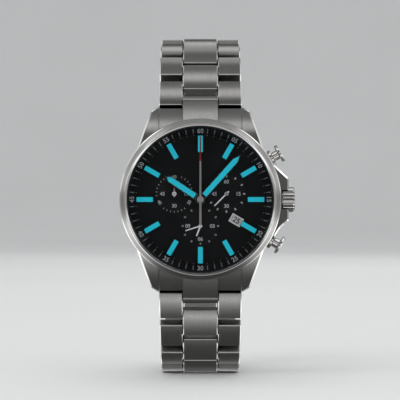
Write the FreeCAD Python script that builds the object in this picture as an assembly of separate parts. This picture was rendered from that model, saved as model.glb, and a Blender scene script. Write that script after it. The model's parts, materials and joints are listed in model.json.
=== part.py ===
import FreeCAD, Part
import math
import os

# Steel chronograph wristwatch on a three-row link bracelet, closed into its loop.
# Row frame: +Z towards 12 o'clock, dial facing -Y, crown at +X, case back towards +Y.
# Origin: centre of the case back's flat outer face, on the hands' axis.
# Case parts are drawn in a dial frame (x right, v towards 12, w out of the dial) and turned
# into the row frame at the end: X = x, Y = -w, Z = v. Millimetres throughout.

# ---------------------------------------------------------------- driving dimensions
CASE_R = 21.2            # middle case radius
CASE_W0, CASE_W1 = 0.8, 8.6
BEZEL_R = 20.95
OPENING_R = 19.15        # bezel bore above the minute ring
SEAT_R = 19.35           # bezel bore round the minute ring
CRYSTAL_R = 18.95
CRYSTAL_W0, CRYSTAL_W1 = 9.9, 11.9
DIAL_R, DIAL_W0, DIAL_W1 = 19.3, 6.6, 7.0
FLANGE_R = 17.2          # inner foot of the sloped minute ring
CAVITY_R = 17.0
LUG_GAP = 22.0           # between lugs
LUG_TIP = 24.4           # half lug-to-lug
BAR_V, BAR_W = 22.3, 1.9  # spring bar centre
AXIS_W = 4.9             # height of crown and push-piece axes
CROWN_R, CROWN_X0, CROWN_X1 = 3.35, 21.45, 24.9
PUSH_ANGLE = 30.0        # push-pieces above and below the crown
PUSH_TRAVEL = 1.0
SUB_X, SUB_V = 6.85, 1.5  # 3 and 9 o'clock sub-dial centres
SUB6_V = -6.95
SUB_R = 5.0
MARK_R0, MARK_R1, MARK_W = 12.35, 16.9, 1.5
HOUR_DEG, MINUTE_DEG = 303.5, 42.0
SMALL_SEC_DEG, COUNTER_DEG = 225.0, 0.0
ALARM_MIN_DEG, ALARM_HOUR_DEG = 252.5, 201.0
DATE_R, DATE_DEG = 10.85, 120.0

PITCH = 8.4              # bracelet link pitch
P0_Y, P0_Z = -1.2, 25.8  # first bracelet pivot, row frame
LEAN_12 = [26.0, 46.0, 70.0, 96.0, 122.0, 144.0]  # each link's lean back from the case's plane, 12 side
LEAN_6 = [17.0, 36.0, 60.0, 86.0, 110.0, 131.0]   # and 6 side. The seventh link of each brings its end to CLASP_Y
CLASP_Y = 39.9           # depth of both clasp pivots behind the case back
LINK_T = 3.4             # link thickness
CENTRE_HALF = 4.6        # half width of the centre row
ROW_GAP = 0.12           # play between rows
W_FIRST, W_LAST = 21.8, 19.8  # bracelet width at case and at clasp
CLASP_R = 90.0           # clasp's wrist curve

V = FreeCAD.Vector
OUT = "parts"
os.makedirs(OUT, exist_ok=True)
made = {}


# ---------------------------------------------------------------- helpers
def cyl(r, w0, w1, x=0.0, v=0.0):
    return Part.makeCylinder(r, w1 - w0, V(x, v, w0))


def tube(ro, ri, w0, w1, x=0.0, v=0.0):
    return cyl(ro, w0, w1, x, v).cut(cyl(ri, w0 - 1, w1 + 1, x, v))


def box(x0, x1, y0, y1, z0, z1):
    return Part.makeBox(x1 - x0, y1 - y0, z1 - z0, V(x0, y0, z0))


def prism(pts, w0, w1):
    """Polygon in the x-v plane, extruded from w0 to w1."""
    p = [V(a, b, w0) for a, b in pts]
    return Part.Face(Part.makePolygon(p + [p[0]])).extrude(V(0, 0, w1 - w0))


def revolve(pts):
    """Polygon of (radius, w), turned about the w axis."""
    p = [V(r, 0, w) for r, w in pts]
    return Part.Face(Part.makePolygon(p + [p[0]])).revolve(V(0, 0, 0), V(0, 0, 1), 360)


def radial(shape, deg):
    """Turns a shape drawn along +x by deg in the dial plane, anticlockwise."""
    s = shape.copy()
    s.rotate(V(0, 0, 0), V(0, 0, 1), deg)
    return s


def clock(shape, deg):
    """Turns a shape drawn along +v (12 o'clock) clockwise by deg."""
    s = shape.copy()
    s.rotate(V(0, 0, 0), V(0, 0, 1), -deg)
    return s


def rod(r, x0, x1, w=AXIS_W, v=0.0):
    """Cylinder along +x in the dial frame."""
    return Part.makeCylinder(r, x1 - x0, V(x0, v, w), V(1, 0, 0))


def rod_profile(pts, w=AXIS_W):
    """Polygon of (x, radius) turned about the line v = 0, w."""
    p = [V(x, 0, w + r) for x, r in pts]
    return Part.Face(Part.makePolygon(p + [p[0]])).revolve(V(0, 0, w), V(1, 0, 0), 360)


def solids(shape):
    return list(shape.Solids)


def group(*shapes):
    out = []
    for s in shapes:
        out += solids(s)
    return Part.makeCompound(out)


TO_ROW = FreeCAD.Matrix(1, 0, 0, 0, 0, 0, -1, 0, 0, 1, 0, 0, 0, 0, 0, 1)


def save(name, shape, row=False):
    """Writes one node. Dial-frame shapes are turned into the row frame."""
    s = shape.copy()
    if not row:
        s.Placement = FreeCAD.Placement(TO_ROW).multiply(s.Placement)
    for i, x in enumerate(s.Solids):
        if x.Volume <= 0:
            raise RuntimeError(name + " solid %d has no volume" % i)
    if not s.Solids:
        raise RuntimeError(name + " has no solid")
    c = s.Solids[0] if len(s.Solids) == 1 else Part.makeCompound(s.Solids)
    c.exportStep(os.path.join(OUT, name + ".step"))
    made[name] = c


def gear(z, m, w0, w1, bore=0.0, x=0.0, v=0.0, phase=0.0, fill=0.86):
    """Flat-sided gear. phase is the angle in degrees of one tooth's centre."""
    rp, ra, rf = z * m / 2, z * m / 2 + 0.92 * m, max(z * m / 2 - 1.2 * m, 0.1)
    half = math.pi / (2 * z) * fill
    pts = []
    for i in range(z):
        c = math.radians(phase) + 2 * math.pi * i / z
        for r, k in ((rf, -1.25), (rp, -1.0), (ra, -0.42), (ra, 0.42), (rp, 1.0), (rf, 1.25)):
            pts.append((x + r * math.cos(c + k * half), v + r * math.sin(c + k * half)))
    g = prism(pts, w0, w1)
    if bore:
        g = g.cut(cyl(bore, w0 - 1, w1 + 1, x, v))
    return g


def try_chamfer(shape, edges, size):
    if not edges:
        return shape
    try:
        s = shape.makeChamfer(size, edges)
        if s.isValid() and s.Volume > 0:
            return s
    except Exception:
        pass
    return shape


def try_fillet(shape, edges, size):
    if not edges:
        return shape
    try:
        s = shape.makeFillet(size, edges)
        if s.isValid() and s.Volume > 0:
            return s
    except Exception:
        pass
    return shape


# ---------------------------------------------------------------- middle case
body = revolve([(18.0, CASE_W0), (19.4, CASE_W0), (20.6, 1.6), (CASE_R, 2.6), (CASE_R, CASE_W1 - 0.25),
                (CASE_R - 0.25, CASE_W1), (10.0, CASE_W1), (10.0, CASE_W0)])


def side_profile(top, bottom, x0, x1):
    """Closed side shape in the v-w plane from two three-point arcs, extruded across x."""
    t = Part.Arc(*[V(x0, a, b) for a, b in top]).toShape()
    u = Part.Arc(*[V(x0, a, b) for a, b in bottom]).toShape()
    e1 = Part.makeLine(V(x0, *top[2]), V(x0, *bottom[2]))
    e2 = Part.makeLine(V(x0, *bottom[0]), V(x0, *top[0]))
    return Part.Face(Part.Wire([t, e1, u, e2])).extrude(V(x1 - x0, 0, 0))


LUG_TOP = [(11.0, 8.35), (19.0, 6.9), (LUG_TIP, 3.1)]
LUG_BOTTOM = [(11.0, 1.2), (18.5, 0.55), (LUG_TIP - 0.3, -0.35)]
plan = [(LUG_GAP / 2, 11.0), (LUG_GAP / 2, LUG_TIP), (11.35, LUG_TIP - 0.05), (13.1, 23.25), (16.55, 13.45), (17.2, 11.0)]
lug = prism(plan, -3, 12).common(side_profile(LUG_TOP, LUG_BOTTOM, 9.0, 19.0))
lug = max(solids(lug), key=lambda s: s.Volume)
edges = []
for e in lug.Edges:
    c = e.CenterOfMass
    on_top = c.z > 2.9 and e.BoundBox.ZLength > 0.03
    if on_top and c.x > 11.1 and c.y > 13.0 and e.Curve.TypeId == "Part::GeomEllipse":
        edges.append(e)
lug = try_chamfer(lug, edges, 0.4)
lugs = []
for sx in (1, -1):
    for sv in (1, -1):
        s = lug.copy()
        if sx < 0:
            s = s.mirror(V(0, 0, 0), V(1, 0, 0))
        if sv < 0:
            s = s.mirror(V(0, 0, 0), V(0, 1, 0))
        lugs.append(s)
for s in lugs:
    body = body.fuse(s)

guard_pts = [(18.0, 10.4), (19.45, 9.15), (20.3, 8.25), (23.0, 5.75), (23.2, 5.3), (23.2, -5.3), (23.0, -5.75), (22.0, -6.5), (21.0, -7.45), (20.2, -8.6), (19.6, -9.7), (18.0, -10.4)]


def inset(pts, d):
    """The clockwise outline drawn in by d, apart from its closing edge."""
    lines = []
    for i in range(len(pts)):
        (x0, y0), (x1, y1) = pts[i], pts[(i + 1) % len(pts)]
        n = math.hypot(x1 - x0, y1 - y0)
        k = 0.0 if i == len(pts) - 1 else d
        lines.append((x0 + (y1 - y0) / n * k, y0 - (x1 - x0) / n * k, x1 - x0, y1 - y0))
    out = []
    for i in range(len(pts)):
        ax, ay, adx, ady = lines[i - 1]
        bx, by, bdx, bdy = lines[i]
        t = ((bx - ax) * bdy - (by - ay) * bdx) / (adx * bdy - ady * bdx)
        out.append((ax + adx * t, ay + ady * t))
    return out


def outline(pts, w):
    return Part.makePolygon([V(a, b, w) for a, b in pts + pts[:1]])


slim = inset(guard_pts, 0.4)
guard = prism(guard_pts, 2.9, 7.1)
guard = guard.fuse(Part.makeLoft([outline(guard_pts, 7.1), outline(slim, 7.5)], True, True))
guard = guard.fuse(Part.makeLoft([outline(guard_pts, 2.9), outline(slim, 2.5)], True, True)).removeSplitter()
body = body.fuse(guard)
# crown recess between the guards
body = body.cut(rod(3.6, 21.4, 26.0))
# bosses round the push-piece tubes
for a in (PUSH_ANGLE, -PUSH_ANGLE):
    boss = radial(rod_profile([(18.0, 0), (18.0, 2.5), (20.9, 2.5), (21.25, 2.15), (21.25, 0)]), a)
    body = body.fuse(boss)
# cavities: movement space, dial and minute ring seat, case back seat
body = body.cut(cyl(CAVITY_R, 2.4, 9.0)).cut(cyl(19.5, DIAL_W0, 9.0))
body = body.cut(cyl(16.6, 0.0, 3.0)).cut(cyl(18.0, 0.0, 1.6))
# bores for crown tube and push-piece tubes
body = body.cut(rod(1.1, 15.0, 23.0))
for a in (PUSH_ANGLE, -PUSH_ANGLE):
    body = body.cut(radial(rod(1.6, 15.0, 23.0), a)).cut(radial(rod(2.5, 21.25, 26.0), a))
# blind spring bar holes in the lugs' inner faces
for sv in (1, -1):
    body = body.cut(Part.makeCylinder(0.45, 24.6, V(-12.3, sv * BAR_V, BAR_W), V(1, 0, 0)))
body = body.removeSplitter()
case_middle = solids(body)[0]
for s in solids(body):
    if s.Volume > case_middle.Volume:
        case_middle = s
save("case_middle", case_middle)

# ---------------------------------------------------------------- bezel, crystal, seals
save("bezel", revolve([(SEAT_R, CASE_W1), (BEZEL_R - 0.15, CASE_W1), (BEZEL_R, CASE_W1 + 0.15), (BEZEL_R, 9.95), (20.8, 10.3), (19.95, 11.38),
                       (19.85, 11.5), (19.72, 11.54), (OPENING_R + 0.12, 11.38), (OPENING_R, 11.2), (OPENING_R, 9.8), (SEAT_R, 9.8)]))
save("crystal", revolve([(0, CRYSTAL_W0), (CRYSTAL_R, CRYSTAL_W0), (CRYSTAL_R, CRYSTAL_W1 - 0.45), (CRYSTAL_R - 0.4, CRYSTAL_W1 - 0.05), (CRYSTAL_R - 1.2, CRYSTAL_W1), (0, CRYSTAL_W1)]))
crystal_seal = tube(OPENING_R, CRYSTAL_R, 9.9, 11.0)
back_seal = tube(17.5, 16.9, 1.2, 1.58)
save("case_gaskets", group(crystal_seal, back_seal))
save("chapter_ring", revolve([(FLANGE_R, DIAL_W1), (19.3, DIAL_W1), (19.3, 9.7), (19.0, 9.7), (18.9, 9.45), (FLANGE_R, DIAL_W1 + 0.12)]))

# ---------------------------------------------------------------- dial and markers
dial = cyl(DIAL_R, DIAL_W0, DIAL_W1)
for x, v in ((SUB_X, SUB_V), (-SUB_X, SUB_V), (0, SUB6_V)):
    dial = dial.cut(cyl(SUB_R, DIAL_W1 - 0.12, DIAL_W1 + 1, x, v))
dial = dial.cut(cyl(0.95, 5, 9))
for x, v, r in ((SUB_X, SUB_V, 0.3), (-SUB_X, SUB_V, 0.3), (0, SUB6_V, 0.42)):
    dial = dial.cut(cyl(r, 5, 9, x, v))
date_hole = clock(box(-0.95, 0.95, DATE_R - 1.42, DATE_R + 1.42, 5, 9), DATE_DEG)
dial = dial.cut(date_hole)
save("dial", dial)

marks = []
for i in range(12):
    b = box(-MARK_W / 2, MARK_W / 2, MARK_R0, MARK_R1, DIAL_W1, DIAL_W1 + 0.4)
    top = [e for e in b.Edges if abs(e.CenterOfMass.z - (DIAL_W1 + 0.4)) < 0.01]
    marks.append(clock(try_chamfer(b, top, 0.12), 30 * i))
save("hour_markers", group(*marks))

# date disc with 31 inner teeth, under the dial
inner = []
for i in range(31):
    c = 2 * math.pi * i / 31
    for r, k in ((9.75, -0.36), (9.35, -0.12), (9.35, 0.12), (9.75, 0.36)):
        inner.append((r * math.cos(c + k * 2 * math.pi / 31), r * math.sin(c + k * 2 * math.pi / 31)))
save("date_disc", cyl(12.6, 6.25, 6.45).cut(prism(inner, 6, 7)))

# ---------------------------------------------------------------- hands
HAND_T = 0.2


def baton(length, tip, width, slot, hub_r, bore, w0, deg, base=1.5, tail=0.0):
    """Pointed baton hand with a window for its luminous fill."""
    h = width / 2
    pts = [(-h, -tail), (h, -tail), (h, length - tip), (0.0, length), (-h, length - tip)]
    s = prism(pts, w0, w0 + HAND_T).fuse(cyl(hub_r, w0, w0 + HAND_T))
    if slot:
        q = slot / 2
        s = s.cut(prism([(-q, base), (q, base), (q, length - tip - 0.05), (0.0, length - 0.75), (-q, length - tip - 0.05)], w0 - 1, w0 + 1))
    s = s.cut(cyl(bore, w0 - 1, w0 + 1))
    return clock(s.removeSplitter(), deg)


def at(shape, x, v):
    s = shape.copy()
    s.translate(V(x, v, 0))
    return s


save("hour_hand", baton(11.2, 1.5, 1.8, 1.36, 1.35, 0.75, 7.95, HOUR_DEG, base=1.75))
save("minute_hand", baton(16.0, 2.3, 1.75, 1.32, 1.15, 0.5, 8.5, MINUTE_DEG, base=1.6))
chrono = prism([(-0.3, -6.8), (0.3, -6.8), (0.28, 0), (0.17, 16.6), (-0.17, 16.6), (-0.28, 0)], 9.05, 9.05 + HAND_T)
chrono = chrono.fuse(revolve([(0, 9.05), (0.85, 9.05), (0.85, 9.3), (0.6, 9.42), (0, 9.42)])).cut(cyl(0.15, 8, 9.3)).removeSplitter()
chrono_arbor = cyl(0.15, 1.62, 9.3)
chrono_wheel = gear(36, 0.12, 2.15, 2.35, 0.15)
save("chrono_seconds_hand", group(chrono, chrono_arbor, chrono_wheel))


def small_hand(length, width, hub_r, bore, w0, deg, tail, x, v):
    h = width / 2
    s = prism([(-h, -tail), (h, -tail), (h * 0.8, length), (-h * 0.8, length)], w0, w0 + 0.14)
    s = s.fuse(cyl(hub_r, w0, w0 + 0.16)).cut(cyl(bore, w0 - 1, w0 + 1)).removeSplitter()
    return at(clock(s, deg), x, v)


save("small_seconds_hand", small_hand(4.5, 0.36, 0.5, 0.15, 7.35, SMALL_SEC_DEG, 0.9, SUB_X, SUB_V))
counter = small_hand(4.3, 0.36, 0.6, 0.15, 7.35, COUNTER_DEG, 0.9, -SUB_X, SUB_V)
save("counter_hand", group(counter, cyl(0.15, 1.62, 7.51, -SUB_X, SUB_V), gear(40, 0.12, 2.75, 2.95, 0.15, -SUB_X, SUB_V)))
alarm_min = small_hand(4.1, 0.36, 0.42, 0.12, 7.58, ALARM_MIN_DEG, 0.0, 0, SUB6_V)
save("alarm_minute_hand", group(alarm_min, cyl(0.12, 1.62, 7.74, 0, SUB6_V), gear(24, 0.12, 2.75, 2.95, 0.12, 0, SUB6_V)))
alarm_hour = small_hand(2.85, 0.44, 0.5, 0.3, 7.28, ALARM_HOUR_DEG, 0.0, 0, SUB6_V)
save("alarm_hour_hand", group(alarm_hour, tube(0.3, 0.16, 5.55, 7.44, 0, SUB6_V)))

# ---------------------------------------------------------------- motion work, 12 to 1, under the dial
M1 = 0.15
MW_X, MW_V = 3.0 * math.sin(math.radians(200)), 3.0 * math.cos(math.radians(200))
MW_DIR = math.degrees(math.atan2(MW_V, MW_X))
save("cannon_pinion", gear(10, M1, 5.5, 5.85, 0.0, phase=MW_DIR).fuse(cyl(0.5, 5.5, 8.72)).cut(cyl(0.33, 5, 9)).removeSplitter())
save("minute_wheel", gear(30, M1, 5.5, 5.7, 0.0, MW_X, MW_V, phase=MW_DIR + 180 + 6).fuse(gear(8, M1, 5.7, 6.15, 0.0, MW_X, MW_V, phase=MW_DIR + 180)).fuse(cyl(0.2, 4.9, 6.3, MW_X, MW_V)).removeSplitter())
save("hour_wheel", gear(32, M1, 5.92, 6.12, 0.0, phase=MW_DIR + 360 / 64).fuse(cyl(0.75, 5.92, 8.17)).cut(cyl(0.53, 5, 9)).removeSplitter())

# ---------------------------------------------------------------- running train: rotor, fifth, seconds, third, centre
M2 = 0.12
S = (SUB_X, SUB_V)
cs = math.hypot(*S)
d_ct, d_ts = (64 + 8) * M2 / 2, (60 + 8) * M2 / 2
a_ = (d_ct ** 2 - d_ts ** 2 + cs ** 2) / (2 * cs)
h_ = math.sqrt(d_ct ** 2 - a_ ** 2)
ux, uv = S[0] / cs, S[1] / cs
T = (a_ * ux + h_ * uv, a_ * uv - h_ * ux)
d_sf, d_fr = (48 + 8) * M2 / 2, (40 + 8) * M2 / 2
F = (S[0] + d_sf * math.cos(math.radians(75)), S[1] + d_sf * math.sin(math.radians(75)))
R = (F[0] + d_fr * math.cos(math.radians(100)), F[1] + d_fr * math.sin(math.radians(100)))


def aim(p, q):
    return math.degrees(math.atan2(q[1] - p[1], q[0] - p[0]))


L1, L2, L3 = (2.7, 2.92), (3.3, 3.52), (3.9, 4.12)
# each driven wheel shows a gap, and its driver a tooth, on the line of centres
centre = gear(64, M2, *L3, 0.0, phase=aim((0, 0), T) + 360 / 128).fuse(cyl(0.32, 3.0, 6.4)).cut(cyl(0.18, 2, 7)).removeSplitter()
save("centre_wheel", centre)
third = gear(8, M2, L3[0] - 0.1, L3[1] + 0.1, 0.0, *T, phase=aim(T, (0, 0))).fuse(gear(60, M2, *L2, 0.0, *T, phase=aim(T, S) + 3.0)).fuse(cyl(0.16, 1.62, 4.9, *T)).removeSplitter()
save("third_wheel", third)
seconds = gear(8, M2, L2[0] - 0.1, L2[1] + 0.1, 0.0, *S, phase=aim(S, T)).fuse(gear(48, M2, *L1, 0.0, *S, phase=aim(S, F) + 3.75)).fuse(cyl(0.15, 1.62, 7.51, *S)).removeSplitter()
save("seconds_wheel", seconds)
fifth = gear(8, M2, L1[0] - 0.1, L1[1] + 0.1, 0.0, *F, phase=aim(F, S)).fuse(gear(40, M2, *L3, 0.0, *F, phase=aim(F, R) + 4.5)).fuse(cyl(0.16, 1.62, 4.9, *F)).removeSplitter()
save("fifth_wheel", fifth)
rotor = gear(8, M2, L3[0] - 0.1, L3[1] + 0.1, 0.0, *R, phase=aim(R, F)).fuse(cyl(0.16, 1.62, 4.9, *R)).fuse(cyl(0.75, 2.75, 3.55, *R)).removeSplitter()
save("motor_rotor", rotor)

# ---------------------------------------------------------------- movement: plates, board, coils, cell
MOV_R = 14.6
BAT = (-6.3, -7.2)
plate = cyl(MOV_R, 4.6, 6.2)
plate = plate.cut(cyl(5.7, 5.4, 7.0))                      # motion work pocket
plate = plate.cut(cyl(0.36, 4, 6))                          # centre tube
plate = plate.cut(cyl(0.22, 4.8, 6, MW_X, MW_V))
for x, v, r in ((S[0], S[1], 0.25), (-SUB_X, SUB_V, 0.25), (0, SUB6_V, 0.38)):
    plate = plate.cut(cyl(r, 4, 7, x, v))
for p in (T, F, R):
    plate = plate.cut(cyl(0.2, 4, 4.95, *p))
plate = plate.cut(box(7.4, 12.0, -1.15, 1.15, 3.0, 6.05))   # sliding pinion space
plate = plate.cut(rod(0.75, 10.0, 16.0))
for a in (PUSH_ANGLE, -PUSH_ANGLE):
    plate = plate.cut(radial(rod(0.75, 13.2, 16.0), a))
save("main_plate", solids(plate)[0])

bridge = cyl(14.2, 1.6, 2.05).cut(box(-16, -1.2, -16, 16, 0, 4)).fuse(prism([(-1.3, -8.2), (-1.3, 5.0), (-9.0, 5.0), (-9.0, -1.0), (-4, -1.6), (-2.2, -4.0)], 1.6, 2.05))
for x, v, r in ((0, 0, 0.2), (S[0], S[1], 0.2), (T[0], T[1], 0.2), (F[0], F[1], 0.2), (R[0], R[1], 0.2), (-SUB_X, SUB_V, 0.2), (0, SUB6_V, 0.2)):
    bridge = bridge.cut(cyl(r, 0, 4, x, v))
SCREWS = [(11.5, 6.0), (11.2, -6.7), (3.0, -12.3), (3.0, 12.3), (-3.2, 4.3)]
for x, v in SCREWS:
    bridge = bridge.cut(cyl(0.4, 0, 4, x, v))
    bridge = bridge.fuse(tube(0.9, 0.4, 2.05, 4.6, x, v))
bridge = bridge.removeSplitter()
save("train_bridge", max(solids(bridge), key=lambda s: s.Volume))
screws = []
for x, v in SCREWS:
    head = cyl(0.75, 1.3, 1.6, x, v).cut(box(x - 0.9, x + 0.9, v - 0.1, v + 0.1, 1.2, 1.42))
    screws.append(head.fuse(cyl(0.35, 1.6, 4.5, x, v)).removeSplitter())
save("movement_screws", group(*screws))

bat = revolve([(0, 1.95), (4.6, 1.95), (4.75, 2.1), (4.75, 4.0), (4.3, 4.2), (4.3, 4.5), (0, 4.5)])
save("battery", at(bat, *BAT))
clamp = prism([(-2.2, -9.4), (-1.4, -9.4), (-1.4, -12.2), (-4.4, -12.2), (-4.6, -8.2), (-11.2, -8.2), (-11.2, -6.2), (-2.2, -6.2)], 1.62, 1.88)
save("battery_clamp", clamp)

board = cyl(14.0, 4.2, 4.55).cut(box(-1.6, 16, -16, 16, 0, 6)).cut(cyl(5.0, 4, 5, *BAT)).cut(cyl(2.7, 4, 5, -SUB_X, SUB_V)).cut(cyl(1.1, 4, 5, -3.2, 4.3)).cut(cyl(5.2, 4, 5, 0, 0))
board = max(solids(board), key=lambda s: s.Volume)
can = Part.makeCylinder(0.95, 6.0, V(-6.5, 12.0, 3.2), V(math.cos(math.radians(215)), math.sin(math.radians(215)), 0))
chip = box(-9.6, -7.2, 3.9, 6.3, 3.3, 4.19)
save("circuit_board", group(board, at(can, 0.4, -0.9), chip))

coils = []
for cx, cv, deg, ln in ((1.0, 9.7, 5, 6.2), (5.4, -8.7, -28, 5.4), (11.6, -1.6, 80, 5.0), (-11.9, 1.2, 84, 5.0)):
    w = Part.makeCylinder(1.0, ln, V(-ln / 2, 0, 3.1), V(1, 0, 0)).cut(box(-ln, ln, -0.45, 0.45, 2.8, 3.4))
    core = box(-ln / 2 - 1.1, ln / 2 + 1.1, -0.45, 0.45, 2.8, 3.4)
    for s in (w, core):
        s = s.copy()
        s.rotate(V(0, 0, 0), V(0, 0, 1), deg)
        s.translate(V(cx, cv, 0))
        coils.append(s)
stator = prism([(R[0] - 1.9, R[1] - 1.2), (R[0] + 2.6, R[1] - 1.2), (R[0] + 2.6, R[1] + 1.6), (R[0] - 1.9, R[1] + 1.6)], 2.9, 3.4).cut(cyl(0.95, 2, 4, *R))
coils.append(stator)
save("motor_coils", group(*coils))

ring = tube(16.9, MOV_R + 0.1, 2.5, 6.55).cut(rod(0.85, 13.0, 18.0))
for a in (PUSH_ANGLE, -PUSH_ANGLE):
    ring = ring.cut(radial(rod(0.8, 13.0, 18.0), a)).cut(radial(rod(1.35, 15.1, 18.0), a))
save("movement_ring", max(solids(ring), key=lambda s: s.Volume))

# ---------------------------------------------------------------- case back
back = revolve([(0, 0), (14.3, 0), (14.8, 0.25), (17.3, 0.45), (17.9, 0.85), (17.9, 1.55), (16.55, 1.55), (16.55, 2.35), (15.5, 2.35), (15.5, 1.1), (0, 1.1)])
back = back.cut(tube(17.55, 16.85, 1.15, 2.0))
for i in range(6):
    back = back.cut(radial(box(16.1, 19.0, -1.3, 1.3, -1.0, 0.85), 60 * i + 30))
back = back.cut(tube(13.4, 13.1, -1, 0.12))
save("case_back", max(solids(back.removeSplitter()), key=lambda s: s.Volume))

# ---------------------------------------------------------------- crown
crown_tube = rod_profile([(17.0, 0.6), (17.0, 1.1), (21.1, 1.1), (23.4, 1.1), (23.4, 0.6)])
N_FL = 22
fl = []
for i in range(N_FL):
    c = 2 * math.pi * i / N_FL
    for r, k in ((CROWN_R - 0.34, -0.46), (CROWN_R - 0.34, -0.34), (CROWN_R - 0.06, -0.2), (CROWN_R, -0.08), (CROWN_R, 0.08), (CROWN_R - 0.06, 0.2), (CROWN_R - 0.34, 0.34), (CROWN_R - 0.34, 0.46)):
        t = c + k * 2 * math.pi / N_FL
        fl.append((r * math.cos(t), r * math.sin(t)))
p = [V(CROWN_X0 + 0.25, a, AXIS_W + b) for a, b in fl]
fluted = Part.Face(Part.makePolygon(p + [p[0]])).extrude(V(CROWN_X1 - CROWN_X0 - 0.25, 0, 0))
hullc = rod_profile([(CROWN_X0, 0), (CROWN_X0, 2.9), (CROWN_X0 + 0.35, CROWN_R + 0.02), (CROWN_X1 - 0.6, CROWN_R + 0.02), (CROWN_X1 - 0.22, CROWN_R - 0.28), (CROWN_X1 - 0.06, CROWN_R - 0.75), (CROWN_X1, 0)])
crown = fluted.common(hullc).fuse(rod_profile([(CROWN_X0, 0), (CROWN_X0, 2.9), (CROWN_X0 + 0.3, 3.0), (CROWN_X1 - 0.1, 2.9), (CROWN_X1 - 0.06, CROWN_R - 0.75), (CROWN_X1, 0)]))
crown = crown.cut(rod(1.75, 20.0, 23.75)).cut(rod(0.5, 20.0, 24.35)).removeSplitter()
save("crown", max(solids(crown), key=lambda s: s.Volume))
stem = rod(0.5, 8.2, 24.35).fuse(rod_profile([(8.3, 0), (8.3, 0.9), (9.5, 0.9), (9.5, 0)])).cut(rod_profile([(12.2, 0.35), (12.2, 1.0), (12.7, 1.0), (12.7, 0.35)]))
save("winding_stem", solids(stem.removeSplitter())[0])
save("crown_gasket", rod_profile([(21.9, 1.12), (21.9, 1.73), (22.5, 1.73), (22.5, 1.12)]))

# ---------------------------------------------------------------- push-pieces
push_tube = rod_profile([(16.95, 0.6), (16.95, 1.6), (21.25, 1.6), (21.25, 2.1), (21.4, 2.2), (22.0, 2.2), (22.15, 2.05), (22.15, 1.34), (19.2, 1.34), (19.2, 0.6)])
tubes = [crown_tube, radial(push_tube, PUSH_ANGLE), radial(push_tube, -PUSH_ANGLE)]
save("crown_and_pusher_tubes", group(*tubes))
piston = rod_profile([(15.05, 0), (15.05, 0.55), (16.5, 0.55), (16.5, 0.4), (16.9, 0.4), (16.9, 0.55), (21.0, 0.55), (21.0, 1.29), (23.55, 1.29), (23.75, 1.6), (23.75, 2.3), (23.9, 2.5), (24.3, 2.5), (24.5, 2.25), (24.55, 0)])
clip = rod_profile([(16.55, 0.42), (16.55, 1.05), (16.85, 1.05), (16.85, 0.42)])
for name, a in (("pusher_upper", PUSH_ANGLE), ("pusher_lower", -PUSH_ANGLE)):
    save(name, group(radial(piston, a), radial(clip, a)))


def spring(x0, x1, mean, wire, turns):
    """Coil spring along +x about the push-piece axis, swept as an eight-sided wire."""
    helix = Part.makeHelix((x1 - x0 - 2 * wire) / turns, x1 - x0 - 2 * wire, mean)
    rim = [V(mean + wire * math.cos(math.pi * (k + 0.5) / 4), 0, wire * math.sin(math.pi * (k + 0.5) / 4)) for k in range(8)]
    prof = Part.makePolygon(rim + [rim[0]])
    s = Part.Wire(helix.Edges).makePipeShell([prof], True, True)
    s.rotate(V(0, 0, 0), V(0, 1, 0), 90)
    s.translate(V(x0 + wire, 0, AXIS_W))
    return Part.Solid(s) if not s.Solids else s.Solids[0]


spr = spring(19.22, 20.98, 0.98, 0.14, 3.0)
save("pusher_springs", group(radial(spr, PUSH_ANGLE), radial(spr, -PUSH_ANGLE)))

# ---------------------------------------------------------------- end links and spring bars
END_TOP = [(10.5, 8.0), (19.0, 6.55), (24.25, 2.95)]
END_BOTTOM = [(10.5, 1.4), (18.5, 0.35), (24.0, -0.45)]
half_w = LUG_GAP / 2 - 0.1
side = prism([(-half_w, 10.5), (half_w, 10.5), (half_w, 24.25), (-half_w, 24.25)], -3, 12).common(side_profile(END_TOP, END_BOTTOM, -12, 12))
P0_W = -P0_Y
side_edges = [e for e in side.Edges if abs(e.CenterOfMass.y - 24.25) < 0.05 and abs(e.CenterOfMass.z - 2.95) < 0.1]
side = try_chamfer(side, side_edges, 0.3)
mid_top = [(10.5, 8.12), (19.2, 6.62), (P0_Z + 0.25, P0_W + LINK_T / 2)]
mid_bottom = [(10.5, 1.4), (18.5, 0.2), (P0_Z + 0.25, P0_W - LINK_T / 2)]
mid = side_profile(mid_top, mid_bottom, -CENTRE_HALF, CENTRE_HALF)
nose = Part.makeCylinder(1.7, 2 * CENTRE_HALF, V(-CENTRE_HALF, P0_Z, P0_W), V(1, 0, 0)).common(box(-20, 20, P0_Z - 1.0, 30, -10, 10))
nose = nose.fuse(box(-CENTRE_HALF, CENTRE_HALF, P0_Z - 0.9, P0_Z + 0.25, P0_W - LINK_T / 2, P0_W + LINK_T / 2))
end = side.fuse(mid).fuse(nose)
end = end.cut(cyl(CASE_R + 0.12, -5, 12))
# room for the first link's side pieces beside the nose
for sx in (-1, 1):
    x0, x1 = sorted((sx * (CENTRE_HALF + 0.0), sx * 12.0))
    end = end.cut(box(x0, x1, 24.26, 40, -5, 12))
    end = end.cut(Part.makeCylinder(2.1, x1 - x0, V(x0, P0_Z, P0_W), V(1, 0, 0)))
end = end.cut(Part.makeCylinder(0.8, 24, V(-12, BAR_V, BAR_W), V(1, 0, 0)))
end = end.cut(Part.makeCylinder(0.55, 24, V(-12, P0_Z, P0_W), V(1, 0, 0)))
end = max(solids(end.removeSplitter()), key=lambda s: s.Volume)
end6 = end.mirror(V(0, 0, 0), V(0, 1, 0))
save("end_links", group(end, end6))
bar = Part.makeCylinder(0.75, 20.8, V(-10.4, BAR_V, BAR_W), V(1, 0, 0)).fuse(Part.makeCylinder(0.42, 23.8, V(-11.9, BAR_V, BAR_W), V(1, 0, 0))).removeSplitter()
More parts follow.
